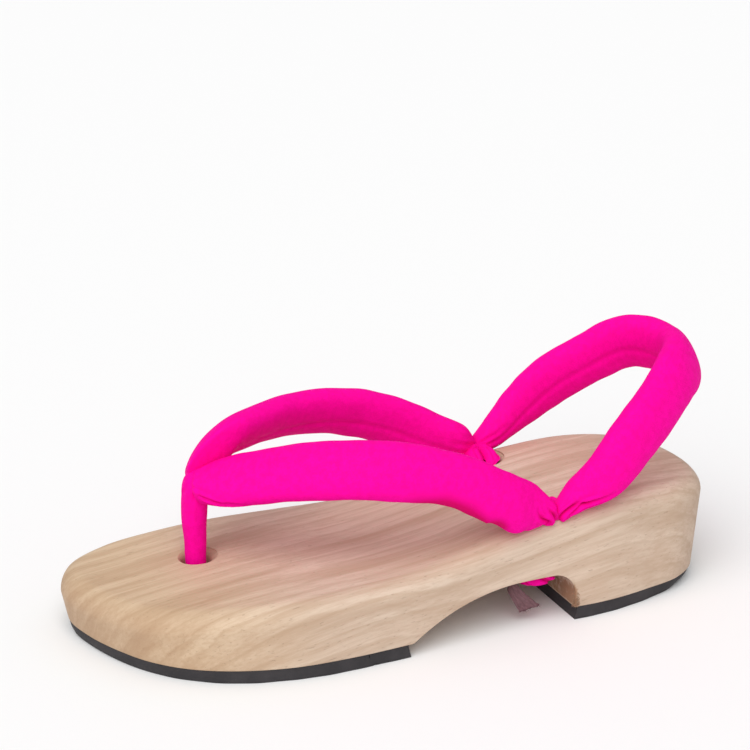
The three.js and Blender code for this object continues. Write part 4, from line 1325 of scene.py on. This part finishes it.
def make_heel_strap():
    start = float(y_of(REAR_HOLES_AT["lateral"][0]))
    reach = BASE_LENGTH / 2 - HEEL_STRAP_INSET - start
    rows = HEEL_HALF + HEEL_HALF[-2::-1]
    sides = [1] * len(HEEL_HALF) + [-1] * (len(HEEL_HALF) - 1)
    centres = [
        (side * float(x_of(across)), start + along * reach, HEEL_HEIGHT + rise * HEEL_STRAP_RISE)
        for side, (along, across, rise, *_) in zip(sides, rows)
    ]
    middle = strap_stations(centres, 1, rows)
    ends = [mouth_stations(name, 1, HEEL_SPREAD) for name in ("lateral", "medial")]
    tube = PaddedTube(ends[0][::-1] + middle + ends[1])
    bed = hole_of("lateral")[2]
    first = tube.length[np.argmax(tube.line[:, 2] > bed + 0.5)]
    last = tube.length[len(tube.length) - 1 - np.argmax(tube.line[::-1, 2] > bed + 0.5)]
    tube.crease(HEEL_MOUTH_CREASES, first)
    tube.crease(HEEL_MOUTH_CREASES, last, -1)
    tube.uneven(0.25, 21)
    tube.seam()
    points = tube.shaped()
    for name in REAR_HOLES_AT:
        place, _, bed = hole_of(name)
        near = np.abs(tube.line[:, 0] - place[0]) < NEAR_THE_HOLE
        pressed = against(points, (place[0], place[1] + MOUTH_HALF_GAP, bed), (0, -1, 0), 0.5)
        points = np.where(near[:, None, None], pressed, points)
        points = off_the_wood(points, hole_of(name))
    make_strap("heel_strap_tube", tube, points, ["heel_strap"])


make_heel_strap()

# Knots under the holes
# The ends of the straps and of the toe loop are tied off into gathered fabric lumps, drawn up against the
# wood, so that they can't slip back through their holes.
FRONT_KNOT = (17.0, 15.0, 8.0)
REAR_KNOT = (15.0, 16.0, 6.0)
KNOT_SHIFT = -3.5
KNOT_GAP = 0.3
KNOT_SIDES, KNOT_ROWS = 120, 56
KNOT_SWIRL = 0.55
KNOT_PLEAT = 0.055
KNOT_TUCK = 1.1


def make_knot(solid, centre, top, size, folds, seed):
    """A gathered lump: its pleats run from the middle of the top, over the side, to a tuck below."""
    generator = np.random.default_rng(seed)
    turn = full_turn(KNOT_SIDES)
    rise = np.linspace(1.50, -1.50, KNOT_ROWS)[:, None]
    swirl = turn[None] + KNOT_SWIRL * rise + 0.18 * np.sin(2 * turn[None] + seed)
    pleats = sum(
        generator.uniform(0.5, 1) * np.cos(count * swirl + generator.uniform(0, 2 * math.pi))
        for count in (folds, 2 * folds + 1, 3 * folds - 1)
    )
    crest = 1 + KNOT_PLEAT * (pleats - np.abs(pleats) * 0.35) * np.cos(rise) ** 0.6
    tuck = KNOT_TUCK * np.exp(-((rise + 1.5) / 0.35) ** 2)
    x = 0.5 * size[0] * crest * np.cos(rise) ** 0.8 * np.cos(turn)
    y = 0.5 * size[1] * crest * np.cos(rise) ** 0.8 * np.sin(turn)
    z = top - 0.4 * size[2] + 0.6 * size[2] * np.sin(rise) * np.ones(KNOT_SIDES) + tuck
    z = np.minimum(z, top)
    points = np.stack([centre[0] + x, centre[1] + y, z], axis=-1)
    name = solid + "_lump"
    mesh = tube_mesh(name, (points + BASE_SHIFT) * MM, np.linspace(0, sum(size) / 2, KNOT_ROWS))
    # Painted shade: the troughs between the pleats are painted a darker pink.
    give_values(mesh, "crease_shade", np.append(np.clip(-(crest - 1) * 9, 0, 0.7), [0, 0]))
    piece_of(name, mesh, PINK_FABRIC, [solid])


front_knot_top = TREAD_THICKNESS + RECESS_DEPTH - KNOT_GAP
make_knot("front_knot", place_of(FRONT_HOLE_AT), front_knot_top, FRONT_KNOT, 4, 1)
for side_name, seed in (("lateral", 2), ("medial", 3)):
    middle = place_of(REAR_HOLES_AT[side_name]) + (0, KNOT_SHIFT)
    make_knot(f"rear_knot_{side_name}", middle, ARCH_HEIGHT - KNOT_GAP, REAR_KNOT, 5, seed)


# Floor and light
# A plain pale floor under one wide, soft sun from above the toe and the outer side, and an even white sky.
KEY_FROM = (0.50, -0.42, 0.76)
KEY_STRENGTH = 2.3
KEY_SPREAD = math.radians(60)
SKY_STRENGTH = 0.52
FLOOR_REACH = 6.0
FLOOR_FINISH = {"Base Color": (0.92, 0.92, 0.92, 1), "Roughness": 0.9}
lamp_data = bpy.data.lights.new("key", "SUN")
lamp_data.energy = KEY_STRENGTH
lamp_data.angle = KEY_SPREAD
lamp = object_in_scene("key", lamp_data)
lamp.location = Vector(KEY_FROM)
lamp.rotation_euler = (-Vector(KEY_FROM)).to_track_quat("-Z", "Y").to_euler()
floor_corners = np.array([(-1, -1, 0), (1, -1, 0), (1, 1, 0), (-1, 1, 0)]) * FLOOR_REACH
floor = object_in_scene("floor", mesh_of("floor", floor_corners, [(0, 1, 2, 3)]))
floor.data.materials.append(new_material("pale_floor", FLOOR_FINISH)[0])
world = bpy.data.worlds.new("studio")
world.use_nodes = True
sky = world.node_tree.nodes["Background"]
sky.inputs["Color"].default_value = (1, 1, 1, 1)
sky.inputs["Strength"].default_value = SKY_STRENGTH
bpy.context.scene.world = world
bpy.context.scene.view_settings.view_transform = "Standard"
